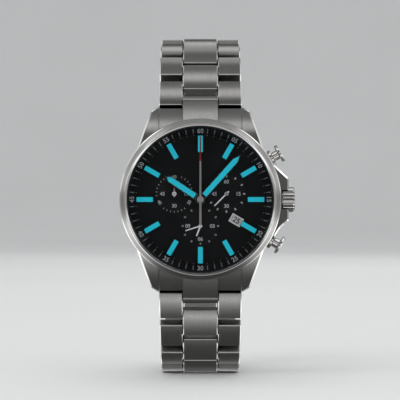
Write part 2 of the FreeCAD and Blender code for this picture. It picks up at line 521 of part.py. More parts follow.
save("spring_bars", group(bar, bar.mirror(V(0, 0, 0), V(0, 1, 0))))


# ---------------------------------------------------------------- bracelet links, local frame x, s, n
def leans(sign):
    """The leans of one half's links. The last one is solved so that both halves end at the same depth."""
    a = list(LEAN_12 if sign > 0 else LEAN_6)
    y = P0_Y + PITCH * sum(math.sin(math.radians(t)) for t in a)
    return a + [180.0 - math.degrees(math.asin((CLASP_Y - y) / PITCH))]


LINKS = len(LEAN_12) + 1


def chain(sign):
    """Pivot points (y, z) and directions of one half of the bracelet, sign +1 for the 12 side."""
    y, z = P0_Y, P0_Z
    out = []
    for t in leans(sign):
        r = math.radians(t)
        out.append(((y, sign * z), t))
        y += PITCH * math.sin(r)
        z += PITCH * math.cos(r)
    out.append(((y, sign * z), None))
    return out


def place(shape, y, z, theta, sign):
    """Local (x, s, n) to the row frame: s leans theta back from the case's plane, n points off the wrist."""
    r = math.radians(theta)
    sy, sz = math.sin(r), sign * math.cos(r)
    ny, nz = -math.cos(r), sign * math.sin(r)
    m = FreeCAD.Matrix(sign, 0, 0, 0, 0, sy, ny, y, 0, sz, nz, z, 0, 0, 0, 1)
    s = shape.copy()
    s.Placement = FreeCAD.Placement(m).multiply(s.Placement)
    return s


def block(x0a, x1a, x0b, x1b, s0, s1, crown_rise=0.42):
    """One link piece from s0 to s1. Its x limits run from (x0a, x1a) at s0 to (x0b, x1b) at s1. The outer face is crowned."""
    t = LINK_T / 2
    edge_n = t - crown_rise
    ms = (s0 + s1) / 2
    arc = Part.Arc(V(-20, s0, edge_n), V(-20, ms, t), V(-20, s1, edge_n)).toShape()
    low = Part.makePolygon([V(-20, s1, edge_n), V(-20, s1, -t), V(-20, s0, -t), V(-20, s0, edge_n)])
    bar_ = Part.Face(Part.Wire([arc] + low.Edges)).extrude(V(40, 0, 0))
    long_edges = [e for e in bar_.Edges if abs(e.BoundBox.XLength - 40) < 0.01]
    top = [e for e in long_edges if e.CenterOfMass.z > 0]
    bot = [e for e in long_edges if e.CenterOfMass.z < 0]
    bar_ = try_fillet(bar_, top, 0.32)
    long_edges = [e for e in bar_.Edges if abs(e.BoundBox.XLength - 40) < 0.01 and e.CenterOfMass.z < -t + 0.01 and min(abs(e.CenterOfMass.y - s0), abs(e.CenterOfMass.y - s1)) < 0.01]
    bar_ = try_fillet(bar_, long_edges, 0.7)
    q = [(x0a, s0 - 1), (x1a, s0 - 1), (x1b, s1 + 1), (x0b, s1 + 1)]
    pl = prism(q, -5, 5)
    s = bar_.common(pl)
    es = []
    for f in s.Faces:
        n_ = f.normalAt(0.5, 0.5) if f.Surface.TypeId == "Part::GeomPlane" else None
        if n_ is not None and abs(n_.x) > 0.98:
            for e in f.Edges:
                b = e.BoundBox
                if b.ZMin > edge_n - 0.6 and e.Length > 0.05 and not (b.YLength < 0.001 and b.ZLength > 0.5):
                    es.append(e)
    return try_chamfer(s, es, 0.2)


PIN_R, HOLE_R = 0.5, 0.55
OUT_S0, OUT_S1 = -1.45, 5.65
CEN_S0, CEN_S1 = 3.3, 10.5
FIX_S = 4.75


def xhole(r, s, n=0.0):
    return Part.makeCylinder(r, 40, V(-20, s, n), V(1, 0, 0))


def width_at(i, s):
    return W_FIRST - (W_FIRST - W_LAST) * (i + s / PITCH) / LINKS


def link(i):
    """Side pieces, centre piece and their two pins. The near pin is the hinge on the link before."""
    a, b = width_at(i, OUT_S0 - 1) / 2, width_at(i, OUT_S1 + 1) / 2
    inner_x = CENTRE_HALF + ROW_GAP
    right = block(inner_x, a, inner_x, b, OUT_S0, OUT_S1)
    left = block(-a, -inner_x, -b, -inner_x, OUT_S0, OUT_S1)
    cen = block(-CENTRE_HALF, CENTRE_HALF, -CENTRE_HALF, CENTRE_HALF, CEN_S0, CEN_S1, 0.45)
    right = right.cut(xhole(PIN_R, 0)).cut(xhole(PIN_R, FIX_S))
    left = left.cut(xhole(PIN_R, 0)).cut(xhole(PIN_R, FIX_S))
    cen = cen.cut(xhole(PIN_R, FIX_S)).cut(xhole(HOLE_R, PITCH))
    h = width_at(i, 0) / 2 - 0.45
    pin1 = Part.makeCylinder(PIN_R, 2 * h, V(-h, 0, 0), V(1, 0, 0))
    pin2 = Part.makeCylinder(PIN_R, 2 * h, V(-h, FIX_S, 0), V(1, 0, 0))
    return group(right, left, cen, pin1, pin2)


for i in range(LINKS):
    unit = link(i)
    for sign, tag in ((1, "12"), (-1, "6")):
        (y, z), t = chain(sign)[i]
        save("link_%s_side_%d" % (tag, i + 1), place(unit, y, z, t, sign), row=True)

# ---------------------------------------------------------------- folding clasp, local frame x, s, n
(ty, tz), _ = chain(1)[-1]
(ty6, tz6), _ = chain(-1)[-1]
CHORD = tz - tz6
HALF = math.degrees(math.asin(CHORD / 2 / CLASP_R))   # arc half angle between the two end pivots
CN = -math.sqrt(CLASP_R ** 2 - (CHORD / 2) ** 2)       # arc centre below the chord


def arc_pt(r, deg, x=0.0):
    return V(x, CHORD / 2 + r * math.sin(math.radians(deg)), CN + r * math.cos(math.radians(deg)))


def sector(r0, r1, d0, d1, x0, x1):
    """Curved plate between two radii and two arc angles, from x0 to x1."""
    dm = (d0 + d1) / 2
    top_ = Part.Arc(arc_pt(r1, d0, x0), arc_pt(r1, dm, x0), arc_pt(r1, d1, x0)).toShape()
    bot_ = Part.Arc(arc_pt(r0, d1, x0), arc_pt(r0, dm, x0), arc_pt(r0, d0, x0)).toShape()
    e1 = Part.makeLine(arc_pt(r1, d1, x0), arc_pt(r0, d1, x0))
    e2 = Part.makeLine(arc_pt(r0, d0, x0), arc_pt(r1, d0, x0))
    return Part.Face(Part.Wire([top_, e1, bot_, e2])).extrude(V(x1 - x0, 0, 0))


def barrel(r, radius, deg, x0, x1):
    c = arc_pt(radius, deg, x0)
    return Part.makeCylinder(r, x1 - x0, c, V(1, 0, 0))


def clasp_place(shape):
    """Clasp local frame to the row frame: s runs down from the 12 side pivot, n points away from the wrist (+Y)."""
    m = FreeCAD.Matrix(1, 0, 0, 0, 0, 0, 1, ty, 0, -1, 0, tz, 0, 0, 0, 1)
    s = shape.copy()
    s.Placement = FreeCAD.Placement(m).multiply(s.Placement)
    return s


R0 = CLASP_R
COV0, COV1 = -HALF + 3.6, HALF - 2.6
H_AB = HALF - 5.2      # hinge of the two blades
H_AC = -HALF + 5.6     # hinge of the upper blade and the cover
R_AB, R_AC = R0 - 0.35, R0 + 0.42
KNUCKLE = 0.85          # blade hinge barrel radius

# cover: crowned top plate with side walls and two ears for the 6 side link
cov = sector(R0 - 1.6, R0 + 2.35, COV0, COV1, -9.9, 9.9)
c_edges = [e for e in cov.Edges if e.CenterOfMass.z > arc_pt(R0, 0).z - 20 and abs(abs(e.CenterOfMass.x) - 9.9) < 0.01 and e.BoundBox.YLength > 20 and e.Length > 20]
r_top = [e for e in c_edges if abs((e.valueAt(e.FirstParameter) - V(e.valueAt(e.FirstParameter).x, CHORD / 2, CN)).Length - (R0 + 2.35)) < 0.01]
cov = try_fillet(cov, r_top, 0.7)
t_edges = [e for e in cov.Edges if e.BoundBox.XLength > 15 and abs((e.CenterOfMass - V(0, CHORD / 2, CN)).Length - (R0 + 2.35)) < 0.3]
cov = try_chamfer(cov, t_edges, 0.35)
cov = cov.cut(sector(R0 - 5, R0 + 1.35, COV0 - 3, COV1 + 3, -8.9, 8.9))
for sx in (-1, 1):
    x0, x1 = sorted((sx * 4.8, sx * 6.4))
    ear = sector(R0 - 1.3, R0 + 1.9, COV1 - 1.7, HALF + 0.9, x0, x1)
    e_ = [e for e in ear.Edges if e.BoundBox.XLength > 1.5 and e.CenterOfMass.y > arc_pt(R0, HALF).y]
    ear = try_fillet(ear, e_, 0.9)
    cov = cov.fuse(ear)
    x0, x1 = sorted((sx * 2.7, sx * 4.3))
    tab = barrel(KNUCKLE, R_AC, H_AC, x0, x1).fuse(sector(R_AC, R0 + 1.6, H_AC - 0.55, H_AC + 0.55, x0, x1))
    cov = cov.fuse(tab)
cov = cov.cut(barrel(0.55, R0, HALF, -20, 20)).cut(barrel(0.5, R_AC, H_AC, -4.3, 4.3))
BTN = HALF - 8.6
cov = cov.cut(barrel(1.05, R0 - 0.1, BTN, -20, 20))
cov = max(solids(cov.removeSplitter()), key=lambda s: s.Volume)
cover_pin = barrel(0.5, R_AC, H_AC, -4.3, 4.3)
save("clasp_cover", clasp_place(group(cov, cover_pin)), row=True)

# upper blade, from the cover hinge to the blade hinge
up = sector(R0 - 0.1, R0 + 0.8, H_AC + 0.75, H_AB - 0.75, -5.0, 5.0)
up = up.fuse(barrel(KNUCKLE, R_AC, H_AC, -2.6, 2.6)).fuse(sector(R0 - 0.1, R0 + 0.8, H_AC, H_AC + 1.0, -2.6, 2.6))
up = up.fuse(barrel(KNUCKLE, R_AB, H_AB, -2.4, 2.4)).fuse(sector(R0 - 0.1, R0 + 0.6, H_AB - 1.0, H_AB, -2.4, 2.4))
up = up.cut(barrel(0.55, R_AC, H_AC, -9, 9)).cut(barrel(0.55, R_AB, H_AB, -9, 9))
for sx in (-1, 1):
    x0, x1 = sorted((sx * 2.6, sx * 6.0))
    up = up.cut(barrel(1.15, R_AC, H_AC, x0, x1))
    x0, x1 = sorted((sx * 2.4, sx * 6.0))
    up = up.cut(barrel(1.15, R_AB, H_AB, x0, x1))
win = sector(R0 - 2, R0 + 2, H_AC + 4.0, H_AB - 4.0, -2.6, 2.6)
up = up.cut(win)
save("clasp_upper_blade", clasp_place(max(solids(up.removeSplitter()), key=lambda s: s.Volume)), row=True)

# lower blade, next to the wrist, forked round the last 12 side link
lo = sector(R0 - 1.45, R0 - 0.55, -HALF + 2.3, H_AB - 0.2, -6.3, 6.3)
for sx in (-1, 1):
    x0, x1 = sorted((sx * 4.8, sx * 6.3))
    arm = sector(R0 - 1.45, R0 + 1.5, -HALF - 0.95, -HALF + 3.2, x0, x1)
    e_ = [e for e in arm.Edges if e.BoundBox.XLength > 1.4 and e.CenterOfMass.y < arc_pt(R0, -HALF).y]
    arm = try_fillet(arm, e_, 0.9)
    lo = lo.fuse(arm)
    x0, x1 = sorted((sx * 2.55, sx * 4.6))
    lo = lo.fuse(barrel(KNUCKLE, R_AB, H_AB, x0, x1)).fuse(sector(R0 - 1.45, R0 - 0.55, H_AB - 0.6, H_AB + 0.2, x0, x1))
lo = lo.cut(barrel(1.15, R_AB, H_AB, -2.5, 2.5)).cut(sector(R0 - 3, R0 + 2, H_AB - 0.6, H_AB + 3, -2.5, 2.5))
for sx in (-1, 1):
    x0, x1 = sorted((sx * 4.6, sx * 8.0))
    lo = lo.cut(sector(R0 - 3, R0 + 2, H_AB - 1.6, H_AB + 3, x0, x1))
lo = lo.cut(barrel(0.5, R0, -HALF, -20, 20)).cut(barrel(0.5, R_AB, H_AB, -20, 20))
lo = max(solids(lo.removeSplitter()), key=lambda s: s.Volume)
fork_pin = barrel(0.5, R0, -HALF, -6.2, 6.2)
blade_pin = barrel(0.5, R_AB, H_AB, -4.55, 4.55)
save("clasp_lower_blade", clasp_place(group(lo, fork_pin, blade_pin)), row=True)

# release buttons in the cover's side walls
c = arc_pt(R0 - 0.1, BTN)
for name, sx in (("clasp_button_right", 1), ("clasp_button_left", -1)):
    b = Part.makeCylinder(1.0, 2.25, V(sx * 8.25, c.y, c.z), V(sx, 0, 0))
    rim = [e for e in b.Edges if abs(e.CenterOfMass.x - sx * 10.5) < 0.01 and e.BoundBox.XLength < 0.01]
    b = try_fillet(b, rim, 0.3)
    b = b.fuse(Part.makeCylinder(1.3, 0.5, V(sx * 8.25, c.y, c.z), V(sx, 0, 0))).removeSplitter()
    save(name, clasp_place(b), row=True)

if __name__ == "__main__":
    for n in sorted(made):
        s = made[n]
        print("%-26s solids %2d  volume %9.3f  valid %s" % (n, len(s.Solids), s.Volume, s.isValid()))
    hb = arc_pt(R_AB, H_AB)
    hc = arc_pt(R_AC, H_AC)
    print("pivots 12:", [(round(p[0], 4), round(p[1], 4)) for p, _t in chain(1)], leans(1))
    print("pivots 6:", [(round(p[0], 4), round(p[1], 4)) for p, _t in chain(-1)], leans(-1))
    print("chord %.4f half %.4f" % (CHORD, HALF))
    print("blade hinge row y,z: %.5f %.5f" % (ty + hb.z, tz - hb.y))
    print("cover hinge row y,z: %.5f %.5f" % (ty + hc.z, tz - hc.y))
    print("gear centres T", T, "F", F, "R", R, "MW", (MW_X, MW_V))
    print("count", len(made))
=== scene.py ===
import json
import math

import bmesh
import bpy
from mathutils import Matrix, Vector

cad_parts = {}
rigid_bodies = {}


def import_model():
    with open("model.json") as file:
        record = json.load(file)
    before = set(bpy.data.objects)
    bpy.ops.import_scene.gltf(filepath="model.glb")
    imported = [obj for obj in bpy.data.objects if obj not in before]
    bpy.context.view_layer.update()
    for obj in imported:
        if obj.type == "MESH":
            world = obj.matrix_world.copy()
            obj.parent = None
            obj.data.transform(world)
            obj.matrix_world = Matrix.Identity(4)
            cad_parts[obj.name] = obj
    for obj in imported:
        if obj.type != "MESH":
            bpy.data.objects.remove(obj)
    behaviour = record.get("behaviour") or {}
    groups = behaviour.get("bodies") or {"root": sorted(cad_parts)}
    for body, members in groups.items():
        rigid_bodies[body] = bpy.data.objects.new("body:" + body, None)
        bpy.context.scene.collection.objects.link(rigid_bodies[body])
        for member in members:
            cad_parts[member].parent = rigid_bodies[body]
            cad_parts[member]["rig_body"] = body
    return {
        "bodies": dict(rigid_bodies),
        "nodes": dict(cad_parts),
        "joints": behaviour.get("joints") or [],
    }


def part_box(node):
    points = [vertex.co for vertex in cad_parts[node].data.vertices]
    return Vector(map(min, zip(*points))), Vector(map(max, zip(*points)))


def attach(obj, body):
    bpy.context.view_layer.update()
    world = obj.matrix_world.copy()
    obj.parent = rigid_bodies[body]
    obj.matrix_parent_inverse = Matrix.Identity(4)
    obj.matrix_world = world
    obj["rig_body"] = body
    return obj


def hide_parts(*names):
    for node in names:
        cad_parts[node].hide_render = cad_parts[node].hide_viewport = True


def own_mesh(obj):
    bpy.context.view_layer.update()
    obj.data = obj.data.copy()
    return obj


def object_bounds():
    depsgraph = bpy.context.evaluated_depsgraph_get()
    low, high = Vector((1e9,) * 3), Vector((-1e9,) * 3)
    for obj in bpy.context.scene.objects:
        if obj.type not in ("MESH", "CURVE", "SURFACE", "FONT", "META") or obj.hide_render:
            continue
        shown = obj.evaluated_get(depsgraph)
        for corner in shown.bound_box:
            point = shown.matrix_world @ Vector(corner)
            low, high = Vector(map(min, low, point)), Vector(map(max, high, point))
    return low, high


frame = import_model()
CAD_LO, CAD_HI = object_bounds()
nodes, bodies = frame["nodes"], frame["bodies"]
MM = 0.001

# ------------------------------------------------------------------ levels read from the frame
# The dial frame is (u right, v to 12 o'clock, w out of the dial); the row frame is X = u, Y = -w, Z = v.


def level(node, side):
    """Height w (mm) of a node's inner ("low") or outer ("high") face."""
    lo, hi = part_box(node)
    return -hi.y / MM if side == "low" else -lo.y / MM


DIAL_W = level("dial", "high")
RECESS = 0.12
HOUR_W0, HOUR_W1 = level("hour_hand", "low"), level("hour_hand", "high")
MIN_W0, MIN_W1 = level("minute_hand", "low"), level("minute_hand", "high")
MARK_W0, MARK_W1 = level("hour_markers", "low"), level("hour_markers", "high")
DATE_W = level("date_disc", "high")
SUBS = {"nine": (-6.85, 1.5), "three": (6.85, 1.5), "six": (0.0, -6.95)}
HOUR_DEG, MINUTE_DEG = 303.5, 42.0


def row(u, v, w):
    return Vector((u * MM, -w * MM, v * MM))


def turn(u, v, deg):
    """Rotates a point clockwise by deg, as seen on the dial."""
    a = math.radians(deg)
    return u * math.cos(a) + v * math.sin(a), -u * math.sin(a) + v * math.cos(a)


# ------------------------------------------------------------------ material kit
class Mat:
    def __init__(self, name):
        self.m = bpy.data.materials.new(name)
        self.m.use_nodes = True
        self.nt = self.m.node_tree
        self.nt.nodes.clear()
        self.out = self.node("ShaderNodeOutputMaterial")

    def node(self, kind, **props):
        n = self.nt.nodes.new(kind)
        for k, v in props.items():
            setattr(n, k, v)
        return n

    def put(self, socket, value):
        if hasattr(value, "is_output") or isinstance(value, bpy.types.NodeSocket):
            self.nt.links.new(value, socket)
        elif isinstance(value, (int, float)):
            try:
                socket.default_value = value
            except TypeError:
                socket.default_value = [value] * len(socket.default_value)
        else:
            v = list(value)
            if len(v) < len(socket.default_value):
                v = v + [1.0]
            socket.default_value = v[: len(socket.default_value)]

    def math(self, op, a, b=0.0, c=0.0, clamp=False):
        n = self.node("ShaderNodeMath", operation=op, use_clamp=clamp)
        self.put(n.inputs[0], a)
        self.put(n.inputs[1], b)
        if len(n.inputs) > 2:
            self.put(n.inputs[2], c)
        return n.outputs[0]

    def vec(self, op, a, b=(0, 0, 0), scale=1.0):
        n = self.node("ShaderNodeVectorMath", operation=op)
        self.put(n.inputs[0], a)
        if op == "SCALE":
            self.put(n.inputs["Scale"], scale)
        elif op != "NORMALIZE" and op != "LENGTH":
            self.put(n.inputs[1], b)
        return n.outputs["Value"] if op in ("DOT_PRODUCT", "LENGTH") else n.outputs["Vector"]

    def sep(self, v):
        n = self.node("ShaderNodeSeparateXYZ")
        self.put(n.inputs[0], v)
        return n.outputs[0], n.outputs[1], n.outputs[2]

    def comb(self, x, y, z):
        n = self.node("ShaderNodeCombineXYZ")
        self.put(n.inputs[0], x), self.put(n.inputs[1], y), self.put(n.inputs[2], z)
        return n.outputs[0]

    def noise(self, v, scale=1.0, detail=2.0, rough=0.5, dist=0.0):
        n = self.node("ShaderNodeTexNoise")
        self.put(n.inputs["Vector"], v)
        self.put(n.inputs["Scale"], scale)
        self.put(n.inputs["Detail"], detail)
        self.put(n.inputs["Roughness"], rough)
        self.put(n.inputs["Distortion"], dist)
        return n.outputs[0]

    def spots(self, v, scale, **kw):
        n = self.node("ShaderNodeTexVoronoi", **kw)
        self.put(n.inputs["Vector"], v)
        self.put(n.inputs["Scale"], scale)
        return n.outputs["Distance"]

    def ramp(self, f, stops):
        n = self.node("ShaderNodeValToRGB")
        cr = n.color_ramp
        while len(cr.elements) < len(stops):
            cr.elements.new(0.5)
        for e, (p, c) in zip(cr.elements, stops):
            e.position = p
            e.color = (c, c, c, 1) if isinstance(c, (int, float)) else (list(c) + [1.0])[:4]
        self.put(n.inputs[0], f)
        return n.outputs[0]

    def span(self, f, a0, a1, b0, b1):
        n = self.node("ShaderNodeMapRange")
        n.clamp = True
        self.put(n.inputs["Value"], f)
        for k, v in (("From Min", a0), ("From Max", a1), ("To Min", b0), ("To Max", b1)):
            self.put(n.inputs[k], v)
        return n.outputs[0]

    def mix(self, f, a, b, kind="RGBA", blend="MIX"):
        n = self.node("ShaderNodeMix", data_type=kind)
        if kind == "RGBA":
            n.blend_type = blend
        ia, ib, io = {"FLOAT": (2, 3, 0), "VECTOR": (4, 5, 1), "RGBA": (6, 7, 2)}[kind]
        self.put(n.inputs[0], f)
        self.put(n.inputs[ia], a)
        self.put(n.inputs[ib], b)
        return n.outputs[io]

    def bump(self, height, strength=0.3, distance=0.00002, normal=None):
        n = self.node("ShaderNodeBump")
        self.put(n.inputs["Strength"], strength)
        self.put(n.inputs["Distance"], distance)
        self.put(n.inputs["Height"], height)
        if normal is not None:
            self.put(n.inputs["Normal"], normal)
        return n.outputs[0]

    def place(self):
        """Position in millimetres in the piece's own (row) frame."""
        return self.vec("SCALE", self.node("ShaderNodeTexCoord").outputs["Object"], scale=1000.0)

    def normal(self):
        """Surface normal in the piece's own frame."""
        return self.node("ShaderNodeTexCoord").outputs["Normal"]

    def to_world(self, v):
        n = self.node("ShaderNodeVectorTransform", vector_type="VECTOR", convert_from="OBJECT", convert_to="WORLD")
        self.put(n.inputs[0], v)
        return n.outputs[0]

    def crevice(self, reach=0.0016, low=0.22, high=0.62):
        """Painted shade: 0 deep in a gap between pieces, 1 on an open face; the colour is darkened in gaps to paint the
        shade that falls in them.
        """
        n = self.node("ShaderNodeAmbientOcclusion", samples=6)
        n.inputs["Distance"].default_value = reach
        return self.span(n.outputs["AO"], low, high, 0.0, 1.0)

    def shader(self, **kw):
        n = self.node("ShaderNodeBsdfPrincipled")
        for k, v in kw.items():
            self.put(n.inputs[k.replace("_", " ")], v)
        return n.outputs[0]

    def done(self, surface):
        self.nt.links.new(surface, self.out.inputs["Surface"])
        return self.m


def grime(m, p, amount=0.12):
    """Slow cloudy variation, as finger marks and light wear give."""
    return m.span(m.noise(p, 0.22, 3.0, 0.55), 0.35, 0.7, 1.0 - amount, 1.0)


def streaks(m, coords, fine=11.0, coarse=2.2, seed=0.0):
    """Brush marks: coords is (across, across, along) in mm. Returns 0..1."""
    x, y, z = m.sep(coords)
    a = m.comb(m.math("MULTIPLY", x, fine), m.math("MULTIPLY", y, fine), m.math("MULTIPLY_ADD", z, 0.22, seed))
    b = m.comb(m.math("MULTIPLY", x, coarse), m.math("MULTIPLY", y, coarse), m.math("MULTIPLY_ADD", z, 0.10, seed + 7.3))
    f = m.noise(a, 1.0, 3.0, 0.7)
    g = m.noise(b, 1.0, 2.0, 0.6)
    return m.math("MULTIPLY_ADD", f, 0.62, m.math("MULTIPLY", g, 0.38))


STEEL = (0.37, 0.367, 0.36)


def steel(name, frame_of, polish=None, colour=STEEL, rough=0.30, bump=0.35, fine=11.0, coarse=2.2, aniso=0.6, seed=0.0, tone=1.0, polished_colour=None, polished_rough=0.07, contrast=1.0):
    """Brushed steel. frame_of(m, p) gives (streak coordinates, across direction); polish(m, p) gives a 0..1 mirror mask."""
    m = Mat(name)
    p = m.place()
    coords, across = frame_of(m, p)
    s = streaks(m, coords, fine, coarse, seed)
    cloud = grime(m, p)
    dark = tuple(c * (1 - 0.20 * contrast) * tone for c in colour)
    light = tuple(min(1.0, c * (1 + 0.10 * contrast) * tone) for c in colour)
    col = m.mix(m.span(s, 0.30, 0.70, 0.0, 1.0), dark, light)
    col = m.mix(cloud, tuple(c * 0.86 * tone for c in colour), col)
    ro = m.span(s, 0.25, 0.75, rough + 0.07 * contrast, rough - 0.06 * contrast)
    hgt = m.bump(s, bump, 0.00003)
    # painted shade: gap_shade turns the colour near black deep in gaps between pieces
    gap_shade = m.crevice()
    if polish is None:
        # painted shade in the gaps between pieces
        col = m.mix(gap_shade, (0.03, 0.03, 0.032), col)
        sh = m.shader(Base_Color=col, Metallic=1.0, Roughness=ro, Anisotropic=aniso, Tangent=m.to_world(across), Normal=hgt)
        return m.done(sh)
    mask = polish(m, p)
    hair = m.noise(p, 3.5, 4.0, 0.6)
    pc = polished_colour or (0.78, 0.775, 0.765)
    col = m.mix(mask, col, m.mix(m.span(hair, 0.3, 0.7, 0.0, 1.0), tuple(c * 0.94 for c in pc), pc))
    # painted shade in the gaps between pieces
    col = m.mix(gap_shade, (0.03, 0.03, 0.032), col)
    ro = m.mix(mask, ro, m.span(hair, 0.3, 0.7, polished_rough, polished_rough + 0.05), "FLOAT")
    an = m.mix(mask, aniso, 0.0, "FLOAT")
    flat = m.node("ShaderNodeNewGeometry").outputs["Normal"]
    nrm = m.mix(mask, hgt, flat, "VECTOR")
    sh = m.shader(Base_Color=col, Metallic=1.0, Roughness=ro, Anisotropic=an, Tangent=m.to_world(across), Normal=nrm)
    return m.done(sh)


def along(direction):
    """Linear brushing along a fixed direction in the piece's frame."""
    d = Vector(direction).normalized()
    side = Vector((1, 0, 0)) if abs(d.x) < 0.9 else Vector((0, 0, 1))
    third = d.cross(side).normalized()

    def f(m, p):
        c = m.comb(m.vec("DOT_PRODUCT", p, tuple(side)), m.vec("DOT_PRODUCT", p, tuple(third)), m.vec("DOT_PRODUCT", p, tuple(d)))
        return c, m.comb(*side)

    return f


def around(centre=(0.0, 0.0), axis="Y", tight=2.4):
    """Circular brushing round an axis through centre (u, v)."""

    def f(m, p):
        if axis == "Y":
            q = m.vec("SUBTRACT", p, (centre[0], 0.0, centre[1]))
            x, y, z = m.sep(q)
            flat = m.comb(x, 0.0, z)
        else:
            q = m.vec("SUBTRACT", p, (0.0, centre[0], centre[1]))
            x, y, z = m.sep(q)
            flat = m.comb(0.0, y, z)
            x, y = y, x
        r = m.vec("LENGTH", flat)
        unit = m.vec("NORMALIZE", flat)
        ux, uy, uz = m.sep(unit)
        u1, u2 = (ux, uz) if axis == "Y" else (uy, uz)
        # the angle enters as a point on a circle, so that there is no seam
        ang = m.comb(m.math("MULTIPLY", u1, tight), m.math("MULTIPLY", u2, tight), 0.0)
        n1 = m.noise(ang, 1.0, 0.0)
        c = m.comb(r, y, m.math("MULTIPLY", n1, 26.0))
        return c, unit

    return f


def case_frame(m, p):
    """Lug and case tops are brushed towards 12 o'clock, the flanks along the case band."""
    nrm = m.normal()
    nx, ny, nz = m.sep(nrm)
    top = m.span(m.math("ABSOLUTE", ny), 0.45, 0.60, 0.0, 1.0)
    x, y, z = m.sep(p)
    a = m.comb(x, y, z)
    r = m.vec("LENGTH", m.comb(x, 0.0, z))
    b = m.comb(y, r, m.math("MULTIPLY", z, 1.0))
    c = m.mix(top, b, a, "VECTOR")
    t = m.mix(top, (0.0, 1.0, 0.0), (1.0, 0.0, 0.0), "VECTOR")
    return c, t


def case_polish(m, p):
    """Mirror-bright chamfers: faces that lean sideways between top and flank."""
    nx, ny, nz = m.sep(m.normal())
    ax, ay = m.math("ABSOLUTE", nx), m.math("ABSOLUTE", ny)
    lean = m.math("MULTIPLY", m.span(ay, 0.30, 0.42, 0.0, 1.0), m.span(ay, 0.82, 0.94, 1.0, 0.0))
    side = m.span(ax, 0.12, 0.22, 0.0, 1.0)
    x, y, z = m.sep(p)
    r = m.vec("LENGTH", m.comb(x, 0.0, z))
    rim = m.math("MULTIPLY", m.span(r, 20.8, 20.9, 0.0, 1.0), m.span(r, 21.3, 21.4, 1.0, 0.0))
    rim = m.math("MULTIPLY", rim, m.span(y, -8.2, -8.3, 0.0, 1.0))
    return m.math("MAXIMUM", m.math("MULTIPLY", lean, side), m.math("MULTIPLY", lean, rim))


def bezel_polish(m, p):
    x, y, z = m.sep(p)
    r = m.vec("LENGTH", m.comb(x, 0.0, z))
    inner = m.span(r, 19.92, 19.95, 1.0, 0.0)
    rim = m.math("MULTIPLY", m.span(y, -8.8, -8.75, 0.0, 1.0), 1.0)
    return m.math("MAXIMUM", inner, rim)


def link_polish(sdir):
    """Bright edges: the small side chamfers of every link piece."""

    def f(m, p):
        nrm = m.normal()
        nx, ny, nz = m.sep(nrm)
        ax = m.math("ABSOLUTE", nx)
        side = m.math("MULTIPLY", m.span(ax, 0.30, 0.45, 0.0, 1.0), m.span(ax, 0.90, 0.97, 1.0, 0.0))
        if sdir is None:
            return side
        along_s = m.math("ABSOLUTE", m.vec("DOT_PRODUCT", nrm, tuple(sdir)))
        end = m.math("MULTIPLY", m.span(along_s, 0.36, 0.46, 0.0, 1.0), m.span(along_s, 0.93, 0.97, 1.0, 0.0))
        return m.math("MAXIMUM", side, m.math("MULTIPLY", end, 0.9))

    return f


def mirror_steel(name, colour=(0.66, 0.655, 0.645), rough=0.08):
    m = Mat(name)
    p = m.place()
    hair = m.noise(p, 4.0, 4.0, 0.6)
    cloud = grime(m, p, 0.08)
    col = m.mix(cloud, tuple(c * 0.88 for c in colour), colour)
    ro = m.span(hair, 0.3, 0.7, rough, rough + 0.07)
    return m.done(m.shader(Base_Color=col, Metallic=1.0, Roughness=ro, Normal=m.bump(hair, 0.05, 0.00001)))


def paint(name, colour, rough=0.5, grain=9.0, vary=0.10, bump=0.15, coat=0.0, spec=0.4):
    m = Mat(name)
    p = m.place()
    g = m.noise(p, grain, 3.0, 0.6)
    cloud = m.noise(p, 0.5, 2.0, 0.5)
    dark = tuple(c * (1 - vary) for c in colour)
    col = m.mix(m.span(g, 0.3, 0.7, 0.0, 1.0), dark, colour)
    col = m.mix(m.span(cloud, 0.3, 0.7, 0.0, 0.5), col, tuple(min(1.0, c * (1 + vary * 0.5)) for c in colour))
    ro = m.span(g, 0.3, 0.7, rough - 0.05, rough + 0.06)
    return m.done(m.shader(Base_Color=col, Roughness=ro, Normal=m.bump(g, bump, 0.00001), Coat_Weight=coat, Specular_IOR_Level=spec))


def lume(name, glow=(0.003, 0.41, 0.52), strength=0.70, body=(0.004, 0.21, 0.27)):
    """Luminous paint: a grainy ceramic body that gives off a cyan light, a little weaker at its edges."""
    m = Mat(name)
    p = m.place()
    g = m.noise(p, 7.0, 4.0, 0.65)
    cl = m.noise(p, 1.1, 2.0, 0.5)
    shade = m.math("MULTIPLY", m.span(g, 0.25, 0.75, 0.88, 1.06), m.span(cl, 0.3, 0.7, 0.93, 1.04))
    facing = m.node("ShaderNodeLayerWeight")
    facing.inputs["Blend"].default_value = 0.35
    edge = m.span(facing.outputs["Facing"], 0.0, 0.75, 1.0, 0.55)
    power = m.math("MULTIPLY", m.math("MULTIPLY", shade, edge), strength)
    return m.done(m.shader(Base_Color=m.mix(m.span(g, 0.3, 0.7, 0.0, 1.0), tuple(c * 0.85 for c in body), body), Roughness=0.62, Normal=m.bump(g, 0.35, 0.00002), Emission_Color=glow, Emission_Strength=power))


def clear(name):
    """Sapphire with an anti-glare coat: lets light through, with a faint blue-violet reflection."""
    m = Mat(name)
    p = m.place()
    fres = m.node("ShaderNodeFresnel")
    fres.inputs["IOR"].default_value = 1.22
    smudge = m.span(m.noise(p, 0.16, 2.0, 0.5), 0.4, 0.7, 0.02, 0.045)
    gl = m.node("ShaderNodeBsdfGlossy")
    m.put(gl.inputs["Color"], (0.86, 0.90, 1.0))
    m.put(gl.inputs["Roughness"], smudge)
    tr = m.node("ShaderNodeBsdfTransparent")
    m.put(tr.inputs["Color"], (0.985, 0.99, 0.995))
    mx = m.node("ShaderNodeMixShader")
    m.put(mx.inputs[0], m.math("MULTIPLY", fres.outputs[0], 0.5, clamp=True))
    m.put(mx.inputs[1], tr.outputs[0])
    m.put(mx.inputs[2], gl.outputs[0])
    return m.done(mx.outputs[0])


